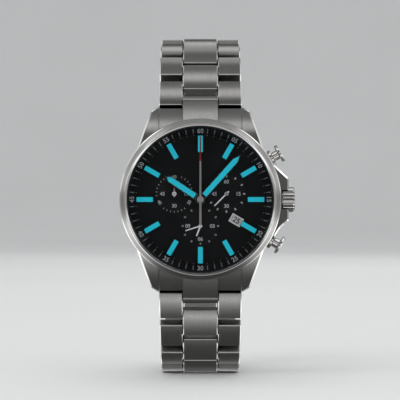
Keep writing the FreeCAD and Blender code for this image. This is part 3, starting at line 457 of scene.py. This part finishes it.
def dial_black(name):
    """Matt black dial with fine circular grooves in the three recesses."""
    m = Mat(name)
    p = m.place()
    x, y, z = m.sep(p)
    g = m.noise(p, 14.0, 3.0, 0.6)
    groove, inside = None, None
    for cx, cz in SUBS.values():
        d = m.vec("LENGTH", m.comb(m.math("SUBTRACT", x, cx), 0.0, m.math("SUBTRACT", z, cz)))
        w = m.math("SINE", m.math("MULTIPLY", d, 2 * math.pi / 0.22))
        i = m.span(d, 4.98, 5.0, 1.0, 0.0)
        t = m.math("MULTIPLY", w, i)
        groove = t if groove is None else m.math("ADD", groove, t)
        inside = i if inside is None else m.math("MAXIMUM", inside, i)
    h = m.math("MULTIPLY_ADD", groove, 0.5, m.math("MULTIPLY", g, 0.05))
    col = m.mix(inside, (0.0050, 0.0050, 0.0054), (0.0085, 0.0085, 0.009))
    col = m.mix(m.span(g, 0.35, 0.65, 0.0, 0.6), col, (0.0075, 0.0075, 0.0085))
    ro = m.mix(inside, 0.52, 0.42, "FLOAT")
    return m.done(m.shader(Base_Color=col, Roughness=ro, Normal=m.bump(h, 0.22, 0.00001), Specular_IOR_Level=0.12))


def pinned(name, colour, rough, wind=None, axis_dir=(1, 0, 0)):
    """Wound copper wire: fine turns across the coil."""
    m = Mat(name)
    p = m.place()
    t = m.vec("DOT_PRODUCT", p, tuple(Vector(axis_dir).normalized()))
    w = m.math("SINE", m.math("MULTIPLY", t, 2 * math.pi / 0.12))
    g = m.noise(p, 5.0, 2.0)
    # painted shade: the colour is darker in the hollows between the wire turns
    col = m.mix(m.span(w, -1.0, 1.0, 0.0, 1.0), tuple(c * 0.55 for c in colour), colour)
    return m.done(m.shader(Base_Color=col, Metallic=0.9, Roughness=m.span(g, 0.3, 0.7, rough - 0.05, rough + 0.08), Normal=m.bump(w, 0.6, 0.00004)))


def circuit(name):
    m = Mat(name)
    p = m.place()
    x, y, z = m.sep(p)
    v = m.spots(m.comb(x, 0.0, z), 0.55, feature="DISTANCE_TO_EDGE", distance="EUCLIDEAN")
    track = m.span(v, 0.10, 0.13, 1.0, 0.0)
    g = m.noise(p, 8.0, 3.0)
    col = m.mix(m.span(g, 0.3, 0.7, 0.0, 1.0), (0.010, 0.055, 0.028), (0.016, 0.085, 0.04))
    col = m.mix(track, col, (0.05, 0.20, 0.08))
    return m.done(m.shader(Base_Color=col, Roughness=0.38, Normal=m.bump(track, 0.3, 0.00002), Coat_Weight=0.4))


def rubber(name):
    return paint(name, (0.018, 0.018, 0.018), 0.75, 12.0, 0.25, 0.3)


def brass(name):
    m = Mat(name)
    p = m.place()
    x, y, z = m.sep(p)
    g = m.noise(m.comb(m.math("MULTIPLY", x, 6.0), m.math("MULTIPLY", y, 6.0), z), 1.0, 3.0, 0.6)
    col = m.mix(m.span(g, 0.3, 0.7, 0.0, 1.0), (0.62, 0.42, 0.16), (0.80, 0.58, 0.25))
    return m.done(m.shader(Base_Color=col, Metallic=1.0, Roughness=m.span(g, 0.3, 0.7, 0.18, 0.32), Normal=m.bump(g, 0.15, 0.00001)))


def nickel(name, waves=True):
    """Nickel-plated movement plate with broad polished stripes."""
    m = Mat(name)
    p = m.place()
    x, y, z = m.sep(p)
    t = m.math("MULTIPLY_ADD", x, 0.7, m.math("MULTIPLY", z, 0.7))
    band = m.math("FRACT", m.math("DIVIDE", t, 1.9))
    fine = m.noise(m.comb(m.math("MULTIPLY", x, 7.0), m.math("MULTIPLY", z, 2.0), y), 1.0, 3.0)
    k = m.math("ABSOLUTE", m.math("SUBTRACT", band, 0.5))
    col = m.mix(m.span(k, 0.0, 0.5, 0.0, 1.0), (0.62, 0.61, 0.58), (0.72, 0.71, 0.68))
    return m.done(m.shader(Base_Color=col, Metallic=1.0, Roughness=m.span(fine, 0.3, 0.7, 0.22, 0.36), Normal=m.bump(m.math("ADD", m.math("MULTIPLY", k, 1.2), m.math("MULTIPLY", fine, 0.3)), 0.4, 0.00004)))


def hand_metal(name, split=None, inner=(0.42, 0.40, 0.39), outer=(0.22, 0.012, 0.010)):
    """Brushed hand, with its tip painted beyond split mm from the axis."""
    m = Mat(name)
    p = m.place()
    x, y, z = m.sep(p)
    g = m.noise(m.comb(m.math("MULTIPLY", x, 9.0), m.math("MULTIPLY", y, 9.0), m.math("MULTIPLY", z, 0.8)), 1.0, 3.0)
    col = m.mix(m.span(g, 0.3, 0.7, 0.0, 1.0), tuple(c * 0.88 for c in inner), inner)
    met, ro = 0.85, m.span(g, 0.3, 0.7, 0.34, 0.46)
    if split:
        mask = m.span(z, split - 0.03, split + 0.03, 0.0, 1.0)
        col = m.mix(mask, col, outer)
        met = m.mix(mask, 0.85, 0.0, "FLOAT")
    return m.done(m.shader(Base_Color=col, Metallic=met, Roughness=ro, Normal=m.bump(g, 0.15, 0.00001)))


# ------------------------------------------------------------------ mesh kit
def build(name, verts, faces, mat, body, smooth=None, raw=False):
    """A piece from dial-frame points in mm (raw: row-frame points in mm)."""
    me = bpy.data.meshes.new(name)
    pts = [Vector(v) * MM for v in verts] if raw else [row(*v) for v in verts]
    me.from_pydata(pts, [], faces)
    me.update()
    bm = bmesh.new()
    bm.from_mesh(me)
    bmesh.ops.remove_doubles(bm, verts=bm.verts, dist=1e-9)
    bmesh.ops.recalc_face_normals(bm, faces=bm.faces)
    bm.to_mesh(me)
    bm.free()
    me.validate()
    if smooth:
        me.shade_smooth()
        me.set_sharp_from_angle(angle=math.radians(smooth))
    me.materials.append(mat)
    ob = bpy.data.objects.new(name, me)
    bpy.context.scene.collection.objects.link(ob)
    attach(ob, body)
    return ob


class Sheet:
    """Collects closed thin solids that share one piece: printed ticks, numerals, fills."""

    def __init__(self):
        self.v, self.f = [], []

    def slab(self, outline, low, high):
        """Closed prism over a convex or simple outline [(u, v)], between two height functions."""
        n, b = len(outline), len(self.v)
        self.v += [(u, v, low(u, v)) for u, v in outline] + [(u, v, high(u, v)) for u, v in outline]
        self.f.append(tuple(b + i for i in reversed(range(n))))
        self.f.append(tuple(b + n + i for i in range(n)))
        self.f += [(b + i, b + (i + 1) % n, b + n + (i + 1) % n, b + n + i) for i in range(n)]

    def mesh(self, pts, tris, low, high):
        """Closed solid over a flat mesh [(u, v)] with faces tris."""
        n, b = len(pts), len(self.v)
        self.v += [(u, v, low(u, v)) for u, v in pts] + [(u, v, high(u, v)) for u, v in pts]
        edges = {}
        for t in tris:
            self.f.append(tuple(b + i for i in reversed(t)))
            self.f.append(tuple(b + n + i for i in t))
            for i, j in zip(t, list(t[1:]) + [t[0]]):
                edges[(i, j)] = edges.get((i, j), 0) + 1
        for i, j in edges:
            if (j, i) not in edges:
                self.f.append((b + i, b + j, b + n + j, b + n + i))

    def done(self, name, mat, body, slot, smooth=None):
        return build(name, self.v, self.f, mat, body, smooth)


_glyphs = {}


def glyphs(text, size, spacing=1.0, bold=0.0):
    """Flat mesh of a number, centred on the origin: points in mm and faces."""
    key = (text, size, spacing, bold)
    if key not in _glyphs:
        cu = bpy.data.curves.new("number_shape", "FONT")
        cu.body, cu.size, cu.space_character = text, size, spacing
        cu.align_x, cu.align_y = "CENTER", "CENTER"
        cu.resolution_u = 5
        cu.offset = bold
        ob = bpy.data.objects.new("number_shape", cu)
        bpy.context.scene.collection.objects.link(ob)
        dg = bpy.context.evaluated_depsgraph_get()
        me = bpy.data.meshes.new_from_object(ob.evaluated_get(dg))
        bm = bmesh.new()
        bm.from_mesh(me)
        bmesh.ops.remove_doubles(bm, verts=bm.verts, dist=1e-5)
        bmesh.ops.triangulate(bm, faces=bm.faces)
        for f in bm.faces:
            if f.normal.z < 0:
                f.normal_flip()
        bm.verts.ensure_lookup_table()
        pts = [(v.co.x, v.co.y) for v in bm.verts]
        fs = [tuple(v.index for v in f.verts) for f in bm.faces]
        bm.free()
        x0, x1 = min(p[0] for p in pts), max(p[0] for p in pts)
        y0, y1 = min(p[1] for p in pts), max(p[1] for p in pts)
        pts = [(x - (x0 + x1) / 2, y - (y0 + y1) / 2) for x, y in pts]
        bpy.data.objects.remove(ob)
        bpy.data.curves.remove(cu)
        bpy.data.meshes.remove(me)
        _glyphs[key] = (pts, fs)
    return _glyphs[key]


def number(sheet, text, size, cu, cv, rot, low, high, squeeze=1.0, spacing=1.0, bold=0.0):
    """Adds a number centred on (cu, cv), turned clockwise by rot."""
    pts, fs = glyphs(text, size, spacing, bold)
    out = []
    for x, y in pts:
        a, b = turn(x * squeeze, y, rot)
        out.append((cu + a, cv + b))
    sheet.mesh(out, fs, low, high)


def flat(w):
    return lambda u, v: w


def bar(sheet, cu, cv, deg, r0, r1, width, low, high, width1=None):
    """A tick along the clock direction deg from (cu, cv)."""
    h0, h1 = width / 2, (width1 if width1 is not None else width) / 2
    pts = [turn(-h0, r0, deg), turn(h0, r0, deg), turn(h1, r1, deg), turn(-h1, r1, deg)]
    sheet.slab([(cu + a, cv + b) for a, b in pts], low, high)


def pillow(sheet_v, sheet_f, outline, w0, w1, inset, crown=0.0):
    """A closed block with rounded upper edges: rings of the outline drawn in as they rise."""
    n = len(outline)
    cx = sum(p[0] for p in outline) / n
    cy = sum(p[1] for p in outline) / n
    rings = []
    steps = 5
    profile = [(0.0, w0)] + [(inset * (1 - math.cos(math.pi / 2 * k / steps)), w1 - inset + inset * math.sin(math.pi / 2 * k / steps)) for k in range(steps + 1)]
    norm = []
    for i in range(n):
        a, b, c = Vector(outline[i - 1]), Vector(outline[i]), Vector(outline[(i + 1) % n])
        e1, e2 = (b - a).normalized(), (c - b).normalized()
        n1, n2 = Vector((-e1.y, e1.x)), Vector((-e2.y, e2.x))
        m_ = (n1 + n2)
        m_ = m_ / max(m_.dot(n1), 1e-6)
        norm.append(m_)
    base = len(sheet_v)
    for d, w in profile:
        for i in range(n):
            q = Vector(outline[i]) + norm[i] * d
            sheet_v.append((q.x, q.y, w))
    for k in range(len(profile) - 1):
        for i in range(n):
            a, b = base + k * n + i, base + k * n + (i + 1) % n
            sheet_f.append((a, b, b + n, a + n))
    sheet_f.append(tuple(base + i for i in reversed(range(n))))
    top = base + (len(profile) - 1) * n
    sheet_f.append(tuple(top + i for i in range(n)))


def rounded_rect(w, h, r, seg=4):
    """Anticlockwise outline centred on the origin."""
    pts = []
    for cx, cy, a0 in ((w / 2 - r, h / 2 - r, 0), (-w / 2 + r, h / 2 - r, 90), (-w / 2 + r, -h / 2 + r, 180), (w / 2 - r, -h / 2 + r, 270)):
        for k in range(seg + 1):
            a = math.radians(a0 + 90 * k / seg)
            pts.append((cx + r * math.cos(a), cy + r * math.sin(a)))
    return pts


def lathe(name, profile, centre, mat, body, seg=96, smooth=35):
    """Closed ring or disc: profile of (radius, w) turned about the w axis at centre."""
    v, f = [], []
    n = len(profile)
    for k in range(seg):
        a = 2 * math.pi * k / seg
        for r, w in profile:
            v.append((centre[0] + r * math.cos(a), centre[1] + r * math.sin(a), w))
    for k in range(seg):
        b, c = k * n, ((k + 1) % seg) * n
        for i in range(n):
            j = (i + 1) % n
            f.append((b + i, c + i, c + j, b + j))
    return build(name, v, f, mat, body, smooth)


# ------------------------------------------------------------------ materials on the CAD nodes
def dress(node, mat, smooth=32):
    ob = nodes[node]
    ob.data.materials.clear()
    ob.data.materials.append(mat)
    for poly in ob.data.polygons:
        poly.material_index = 0
    return ob


M_case = steel("case_steel", case_frame, case_polish, rough=0.30, bump=0.30, seed=1.0, polished_colour=(0.93, 0.925, 0.915))
M_bezel = steel("bezel_steel", around(), bezel_polish, rough=0.30, bump=0.06, seed=2.0, fine=13.0, coarse=5.0, contrast=0.45)
M_end = steel("end_link_steel", along((0, 0, 1)), None, rough=0.31, bump=0.35, seed=3.0)
M_back = steel("case_back_steel", around(), None, rough=0.28, bump=0.3, seed=4.0)
M_mirror = mirror_steel("polished_steel")
M_glass = clear("sapphire_clear")
M_rubber = rubber("seal_rubber")
M_dial = dial_black("dial_black")
M_ring = paint("minute_ring_black", (0.0060, 0.0060, 0.0065), 0.55, 10.0, 0.3, 0.04, spec=0.15)
M_frame = steel("applied_frame_steel", along((0, 0, 1)), None, rough=0.2, bump=0.1, seed=5.0, tone=0.8)
M_hand = steel("hand_steel", along((0, 0, 1)), None, rough=0.26, bump=0.1, seed=6.0, tone=0.62)
M_lume = lume("luminous_paint")
M_white = paint("white_paint", (0.78, 0.79, 0.79), 0.5, 12.0, 0.08, 0.1)
M_print = paint("print_grey_white", (0.44, 0.45, 0.46), 0.6, 14.0, 0.12, 0.1)
M_print_dim = paint("print_dim", (0.24, 0.245, 0.25), 0.6, 14.0, 0.12, 0.1)
M_ink = paint("date_ink", (0.02, 0.02, 0.022), 0.5, 12.0, 0.1, 0.1)
M_date = paint("date_white", (0.62, 0.635, 0.64), 0.5, 10.0, 0.05, 0.1)
M_chrono = hand_metal("chrono_hand", split=10.1)
M_counter = hand_metal("counter_hand", split=2.8)
M_brass = brass("gear_brass")
M_nickel = nickel("nickel_plate")
M_screw = mirror_steel("screw_steel", (0.60, 0.60, 0.62), 0.12)
M_cell = steel("cell_steel", around((-6.3, -7.2)), None, rough=0.22, bump=0.15, seed=8.0, colour=(0.66, 0.66, 0.66))
M_board = circuit("circuit_green")
M_coil = pinned("copper_wire", (0.72, 0.33, 0.16), 0.34)
M_magnet = paint("magnet_grey", (0.16, 0.16, 0.17), 0.4, 9.0, 0.2, 0.2)
M_plastic = paint("ring_plastic", (0.62, 0.61, 0.57), 0.5, 6.0, 0.08, 0.2)
M_spring = mirror_steel("spring_steel", (0.55, 0.55, 0.56), 0.2)

dress("case_middle", M_case)
dress("bezel", M_bezel)
dress("end_links", M_end)
dress("case_back", M_back)
for n in ("crown", "pusher_upper", "pusher_lower", "crown_and_pusher_tubes", "spring_bars", "clasp_button_right", "clasp_button_left"):
    dress(n, M_mirror)
dress("crystal", M_glass)
for n in ("case_gaskets", "crown_gasket"):
    dress(n, M_rubber)
dress("dial", M_dial)
dress("chapter_ring", M_ring)
dress("hour_markers", M_frame)
dress("hour_hand", M_hand)
dress("minute_hand", M_hand)
dress("chrono_seconds_hand", M_chrono)
dress("counter_hand", M_counter)
for n in ("small_seconds_hand", "alarm_minute_hand", "alarm_hour_hand"):
    dress(n, M_white)
dress("date_disc", M_date)
for n in ("cannon_pinion", "hour_wheel", "minute_wheel", "third_wheel", "centre_wheel", "fifth_wheel", "seconds_wheel"):
    dress(n, M_brass)
dress("motor_rotor", M_magnet)
for n in ("main_plate", "train_bridge", "battery_clamp"):
    dress(n, M_nickel)
for n in ("movement_screws", "winding_stem"):
    dress(n, M_screw)
dress("pusher_springs", M_spring)
dress("battery", M_cell)
dress("circuit_board", M_board)
dress("motor_coils", M_coil)
dress("movement_ring", M_plastic)

LEAN = {"12": [], "6": []}
for tag in LEAN:
    joints = {j["name"]: j for j in frame["joints"]}
    pts = [joints["link_%s_side_%d_hinge" % (tag, i + 1)]["pos_m"] for i in range(7)]
    for i in range(7):
        a = pts[i]
        if i < 6:
            b = pts[i + 1]
        elif tag == "12":
            b = joints["clasp_end_hinge"]["pos_m"]
        else:
            b = [0, joints["clasp_end_hinge"]["pos_m"][1], a[2] + (pts[6][2] - pts[5][2])]
        d = Vector((0, b[1] - a[1], b[2] - a[2])).normalized()
        LEAN[tag].append(d)
for tag in LEAN:
    for i in range(7):
        name = "link_%s_side_%d" % (tag, i + 1)
        dress(name, steel("bracelet_steel_%s_%d" % (tag, i + 1), along(LEAN[tag][i]), link_polish(LEAN[tag][i]), rough=0.30, bump=0.32, seed=11.0 + i * 3.7 + (50 if tag == "6" else 0)))
for n in ("clasp_cover", "clasp_upper_blade", "clasp_lower_blade"):
    dress(n, steel(n + "_steel", along((0, 0, 1)), link_polish(None), rough=0.29, bump=0.32, seed=90.0 + len(n)))

# ------------------------------------------------------------------ luminous fills
sheet_v, sheet_f = [], []
MARK_MID = (12.45 + 16.8) / 2
for i in range(12):
    out = []
    for x, y in rounded_rect(1.3 - 0.02, 16.8 - 12.45 - 0.02, 0.12, 3):
        out.append(turn(x, y + MARK_MID, 30 * i))
    pillow(sheet_v, sheet_f, out, MARK_W1 - 0.08, MARK_W1 + 0.07, 0.10)
build("hour_marker_lume", sheet_v, sheet_f, M_lume, "case", 40)


def hand_lume(name, length, slot_w, tip, base, w0, w1, deg, body):
    q = slot_w / 2 + 0.015
    out = [(-q, base), (q, base), (q, length - tip - 0.05), (0.0, length - 0.72), (-q, length - tip - 0.05)]
    v, f = [], []
    pillow(v, f, [turn(x, y, deg) for x, y in out], w0 + 0.02, w1 + 0.05, 0.07)
    build(name, v, f, M_lume, body, 40)


hand_lume("hour_hand_lume", 11.2, 1.36, 1.5, 1.72, HOUR_W0, HOUR_W1, HOUR_DEG, "hour_arm")
hand_lume("minute_hand_lume", 16.0, 1.32, 2.3, 1.57, MIN_W0, MIN_W1, MINUTE_DEG, "minute_arm")

# ------------------------------------------------------------------ minute ring printing, draped on its slope
R_FOOT, R_TOP = 17.2, 18.9
W_FOOT, W_TOP = DIAL_W + 0.12, 9.45


def slope(off):
    def f(u, v):
        r = math.hypot(u, v)
        return W_FOOT + (r - R_FOOT) * (W_TOP - W_FOOT) / (R_TOP - R_FOOT) + off

    return f


ticks = Sheet()
for i in range(60):
    if i % 5:
        bar(ticks, 0, 0, 6 * i, 17.42, 18.55, 0.2, slope(-0.02), slope(0.045))
ticks.done("minute_ring_ticks", M_print_dim, "case", "dial_black")
nums = Sheet()
for i in range(12):
    label = "%02d" % (5 * i if i else 60)
    deg = 30 * i
    u, v = turn(0, 17.98, deg)
    rot = deg if (deg <= 90 or deg >= 270) else deg + 180
    number(nums, label, 1.6, u, v, rot, slope(-0.02), slope(0.05), spacing=1.06, bold=0.03)
nums.done("minute_ring_numerals", M_print, "case", "dial_black")

# ------------------------------------------------------------------ dial printing
track = Sheet()
lo, hi = flat(DIAL_W - 0.01), flat(DIAL_W + 0.02)
for i in range(60):
    if i % 5:
        bar(track, 0, 0, 6 * i, 16.75, 17.08, 0.10, lo, hi)
track.done("dial_minute_track", M_print_dim, "case", "dial_black")

SW = DIAL_W - RECESS
lo, hi = flat(SW - 0.01), flat(SW + 0.02)
nine, three, six = Sheet(), Sheet(), Sheet()
cu, cv = SUBS["nine"]
for i in range(30):
    if i % 10 not in (0, 1, 9):
        bar(nine, cu, cv, 12 * i, 4.52, 4.93, 0.15, lo, hi)
for deg, label in ((0, "60"), (120, "20"), (240, "40")):
    u, v = turn(0, 4.48, deg)
    number(nine, label, 1.15, cu + u, cv + v, 0 if deg == 0 else deg - 180, lo, hi, bold=0.022)
for deg, label in ((90, "15"), (180, "30"), (270, "45")):
    u, v = turn(0, 3.15, deg)
    number(nine, label, 1.3, cu + u, cv + v, 0, lo, hi, bold=0.022)
nine.done("nine_dial_print", M_print, "case", "dial_black")
cu, cv = SUBS["three"]
for i in range(12):
    if i not in (0,):
        bar(three, cu, cv, 30 * i, 4.35, 4.93, 0.32, lo, hi, 0.40)
bar(three, cu, cv, 0, 4.35, 4.93, 0.32, lo, hi, 0.40)
for deg, label in ((0, "60"), (90, "15"), (180, "30"), (270, "45")):
    u, v = turn(0, 3.2, deg)
    number(three, label, 1.35, cu + u, cv + v, 0, lo, hi, bold=0.025)
three.done("three_dial_print", M_print, "case", "dial_black")
cu, cv = SUBS["six"]
for i in range(12):
    u, v = turn(0, 4.66, 30 * i)
    out = []
    for k in range(10):
        a = 2 * math.pi * k / 10
        x, y = turn(0.24 * math.cos(a), 0.32 * math.sin(a), 30 * i)
        out.append((cu + u + x, cv + v + y))
    six.slab(out, lo, hi)
six.done("six_dial_dots", M_print_dim, "case", "dial_black")
six = Sheet()
for deg, r, label in ((90, 3.15, "03"), (180, 3.42, "06"), (270, 3.3, "09")):
    u, v = turn(0, r, deg)
    number(six, label, 1.35, cu + u, cv + v, 0, lo, hi, bold=0.025)
six.done("six_dial_print", M_print, "case", "dial_black")

# rims of the three recesses
for tag, (x, y) in SUBS.items():
    lathe(tag + "_dial_rim", [(5.0 - 0.06, DIAL_W - 0.11), (5.0 - 0.06, DIAL_W - 0.02), (5.0 - 0.02, DIAL_W + 0.015), (5.0 + 0.05, DIAL_W + 0.015), (5.0 + 0.07, DIAL_W - 0.005), (5.0 - 0.01, DIAL_W - 0.03)], (x, y), M_ring, "case", seg=120)

# ------------------------------------------------------------------ date: numbers on the disc and a frame round the window
DATE_R, DATE_DEG, TODAY = 10.95, 120.0, 25
dates = Sheet()
lo, hi = flat(DATE_W - 0.01), flat(DATE_W + 0.02)
for d in range(1, 32):
    deg = DATE_DEG + (TODAY - d) * 360.0 / 31
    u, v = turn(0, DATE_R, deg)
    number(dates, str(d), 1.95, u, v, deg - 90, lo, hi, squeeze=0.95, bold=0.045)
dates.done("date_numbers", M_ink, "date", "date_white")
v_, f_ = [], []
outer = rounded_rect(1.9 + 0.5, 2.84 + 0.5, 0.1, 3)
inner = rounded_rect(1.9 + 0.02, 2.84 + 0.02, 0.02, 3)
n_ = len(outer)
prof = [(outer, DIAL_W - 0.01), (outer, DIAL_W + 0.10), (inner, DIAL_W + 0.03), (inner, DIAL_W - 0.01)]
for ring, w in prof:
    for x, y in ring:
        a, b = turn(x, y + 10.85, DATE_DEG)
        v_.append((a, b, w))
for k in range(4):
    for i in range(n_):
        a, b = k * n_ + i, k * n_ + (i + 1) % n_
        c, d = ((k + 1) % 4) * n_ + (i + 1) % n_, ((k + 1) % 4) * n_ + i
        f_.append((a, b, c, d))
build("date_window_frame", v_, f_, M_white, "case", 30)

# ------------------------------------------------------------------ hub caps
lathe("centre_cap", [(0.0001, 9.38), (0.0001, 9.50), (0.30, 9.49), (0.48, 9.45), (0.56, 9.40), (0.56, 9.36)], (0, 0), M_chrono, "chrono_arm", seg=48)

M_hub = paint("hub_grey", (0.24, 0.235, 0.23), 0.35, 9.0, 0.15, 0.1)
SEC_W, CNT_W = level("seconds_wheel", "high"), level("counter_hand", "high")
lathe("seconds_hub_cap", [(0.0001, SEC_W - 0.05), (0.0001, SEC_W + 0.10), (0.22, SEC_W + 0.09), (0.42, SEC_W + 0.05), (0.46, SEC_W), (0.46, SEC_W - 0.05)], SUBS["three"], M_hub, "seconds_arm", seg=40)
lathe("counter_hub_ring", [(0.26, CNT_W - 0.03), (0.28, CNT_W + 0.07), (0.40, CNT_W + 0.09), (0.52, CNT_W + 0.06), (0.56, CNT_W - 0.03)], SUBS["nine"], M_white, "counter_arm", seg=40)

# ------------------------------------------------------------------ push-piece springs, split into one piece for each push-piece
for tag, sign in (("upper", 1), ("lower", -1)):
    me = nodes["pusher_springs"].data.copy()
    me.name = "pusher_spring_" + tag
    bm = bmesh.new()
    bm.from_mesh(me)
    bmesh.ops.delete(bm, geom=[v for v in bm.verts if v.co.z * sign < 0], context="VERTS")
    bm.to_mesh(me)
    bm.free()
    ob = bpy.data.objects.new(me.name, me)
    bpy.context.scene.collection.objects.link(ob)
    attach(ob, "case")
    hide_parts("pusher_springs")
    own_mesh(ob)

# ------------------------------------------------------------------ stage
Z_FLOOR = CAD_LO.z


def lowest_points():
    """Extreme points of every body that can hang low, as markers riding on their bodies."""
    marks = []
    wanted = [b for b in bodies if b.startswith("bracelet_")] + ["case", "lower_blade", "upper_blade", "cover"]
    for b in wanted:
        pts = []
        for ob in nodes.values():
            if ob["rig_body"] == b and (b != "case" or ob.name in ("case_middle", "end_links", "bezel")):
                pts += [v.co.copy() for v in ob.data.vertices]
        best = {}
        for k in range(24):
            a = math.radians(15 * k)
            d = Vector((0, math.cos(a), math.sin(a)))
            p = min(pts, key=lambda q: q.dot(d))
            best[tuple(round(c, 7) for c in p)] = p
        for p in best.values():
            e = bpy.data.objects.new("ground_mark", None)
            e.empty_display_size = 0.001
            bpy.context.scene.collection.objects.link(e)
            e.parent = bodies[b]
            e.location = p
            marks.append(e)
    return marks


TENT = ((-90, 0.07), (-60, 0.07), (-47, 0.18), (-35, 0.40), (-28, 0.55), (-24, 1.0), (-17, 1.0), (-12, 0.20), (-4, 0.04), (4, 0.04),
        (8, 0.55), (17, 0.55), (22, 0.09), (41, 0.08), (46, 1.0), (58, 1.0), (64, 0.20), (90, 0.16))


def light_tent(m):
    """Brightness of the tent by direction: soft bands by height, dark towards the camera, bright panels at both sides."""
    x, y, z = m.sep(m.vec("SCALE", m.node("ShaderNodeNewGeometry").outputs["Incoming"], scale=-1.0))
    stops = [((math.sin(math.radians(e)) + 1) / 2, v) for e, v in TENT]
    band = m.ramp(m.math("MULTIPLY_ADD", z, 0.5, 0.5), stops)
    ax = m.math("ABSOLUTE", x)
    side = m.math("MULTIPLY", m.span(ax, 0.52, 0.70, 0.0, 1.0), m.span(ax, 0.88, 0.95, 1.0, 0.35))
    behind = m.math("MULTIPLY", m.span(y, 0.12, 0.24, 0.0, 1.0), m.span(z, 0.89, 0.93, 0.0, 1.0))
    total = m.math("MULTIPLY_ADD", side, 0.68, m.math("MULTIPLY", band, 1.25))
    return m.math("MULTIPLY_ADD", behind, 0.5, total)


def floor_bowl():
    """A wide pale floor that sweeps up into a wall on all sides."""
    prof = [(0.0, 0.0), (0.3, 0.0), (0.9, 0.0), (2.2, 0.0)]
    for k in range(1, 13):
        a = math.radians(90 * k / 12)
        prof.append((2.2 + 1.2 * math.sin(a), 1.2 - 1.2 * math.cos(a)))
    prof.append((3.4, 3.4))
    me = bpy.data.meshes.new("studio_floor")
    bm = bmesh.new()
    seg, rings = 96, []
    for r, z in prof:
        if r == 0:
            rings.append([bm.verts.new((0, 0, z))])
        else:
            rings.append([bm.verts.new((r * math.cos(2 * math.pi * k / seg), r * math.sin(2 * math.pi * k / seg), z)) for k in range(seg)])
    for a, b in zip(rings, rings[1:]):
        for k in range(seg):
            if len(a) == 1:
                bm.faces.new((a[0], b[k], b[(k + 1) % seg]))
            else:
                bm.faces.new((a[k], b[k], b[(k + 1) % seg], a[(k + 1) % seg]))
    bm.to_mesh(me)
    bm.free()
    me.shade_smooth()
    ob = bpy.data.objects.new("studio_floor", me)
    bpy.context.scene.collection.objects.link(ob)
    m = Mat("floor_pale")
    g = m.noise(m.node("ShaderNodeTexCoord").outputs["Object"], 3.0, 3.0, 0.5)
    col = m.mix(m.span(g, 0.3, 0.7, 0.0, 1.0), (0.71, 0.71, 0.705), (0.74, 0.74, 0.735))
    plain = m.shader(Base_Color=col, Roughness=0.75, Specular_IOR_Level=0.2)
    # metal mirrors a photographer's light tent in place of the bare floor and walls
    em = m.node("ShaderNodeEmission")
    m.put(em.inputs["Color"], (1.0, 1.0, 0.995))
    m.put(em.inputs["Strength"], light_tent(m))
    rays = m.node("ShaderNodeLightPath")
    mx = m.node("ShaderNodeMixShader")
    m.put(mx.inputs[0], rays.outputs["Is Glossy Ray"])
    m.put(mx.inputs[1], plain)
    m.put(mx.inputs[2], em.outputs[0])
    me.materials.append(m.done(mx.outputs[0]))
    return ob


floor = floor_bowl()
floor.location.z = Z_FLOOR
drv = floor.driver_add("location", 2).driver
drv.type = "MIN"
for k, mark in enumerate(lowest_points()):
    var = drv.variables.new()
    var.name = "z%d" % k
    var.type = "TRANSFORMS"
    var.targets[0].id = mark
    var.targets[0].transform_type = "LOC_Z"
    var.targets[0].transform_space = "WORLD_SPACE"


def softbox(name, loc, size, power, colour=(1, 1, 1), target=(0, 0, 0), size_y=None, spread=None):
    li = bpy.data.lights.new(name, "AREA")
    li.shape = "RECTANGLE"
    li.size = size
    li.size_y = size_y or size
    li.energy = power
    li.color = colour
    if spread:
        li.spread = math.radians(spread)
    ob = bpy.data.objects.new(name, li)
    ob.location = loc
    ob.rotation_mode = "QUATERNION"
    ob.rotation_quaternion = (Vector(target) - Vector(loc)).to_track_quat("-Z", "Y")
    bpy.context.scene.collection.objects.link(ob)
    ob.visible_glossy = False
    return ob


softbox("key_soft", (-0.60, -0.80, 0.95), 0.8, 4.6, (1.0, 0.985, 0.96))
softbox("fill_soft", (0.95, -0.60, 0.40), 0.6, 1.5, (0.95, 0.98, 1.0))
softbox("top_soft", (0.0, 0.20, 1.15), 0.9, 2.6)
softbox("back_soft", (0.30, 1.05, 0.60), 0.8, 1.6, (0.98, 0.99, 1.0))

world = bpy.data.worlds.new("studio_world")
bpy.context.scene.world = world
world.use_nodes = True
w = Mat.__new__(Mat)
w.nt = world.node_tree
w.nt.nodes.clear()
w.out = w.node("ShaderNodeOutputWorld")
sky, tent = w.node("ShaderNodeBackground"), w.node("ShaderNodeBackground")
w.put(sky.inputs["Color"], (0.86, 0.88, 0.90))
w.put(sky.inputs["Strength"], 1.05)
w.put(tent.inputs["Color"], (1.0, 1.0, 0.995))
w.put(tent.inputs["Strength"], light_tent(w))
pick = w.node("ShaderNodeMixShader")
w.put(pick.inputs[0], w.node("ShaderNodeLightPath").outputs["Is Glossy Ray"])
w.put(pick.inputs[1], sky.outputs[0])
w.put(pick.inputs[2], tent.outputs[0])
w.nt.links.new(pick.outputs[0], w.out.inputs["Surface"])

# ------------------------------------------------------------------ camera, straight on to the dial
cam_data = bpy.data.cameras.new("photo_camera")
cam_data.sensor_width = 36.0
DIST = 0.600
PLANE_Y = -0.003
cam_data.lens = 36.0 * DIST / 0.10576
cam = bpy.data.objects.new("photo_camera", cam_data)
cam.location = (-0.0001, PLANE_Y - DIST, -0.00013)
cam.rotation_euler = (math.radians(90), 0, 0)
cam_data.clip_start, cam_data.clip_end = 0.01, 20.0
bpy.context.scene.collection.objects.link(cam)
bpy.context.scene.camera = cam
bpy.context.scene.view_settings.view_transform = "Standard"
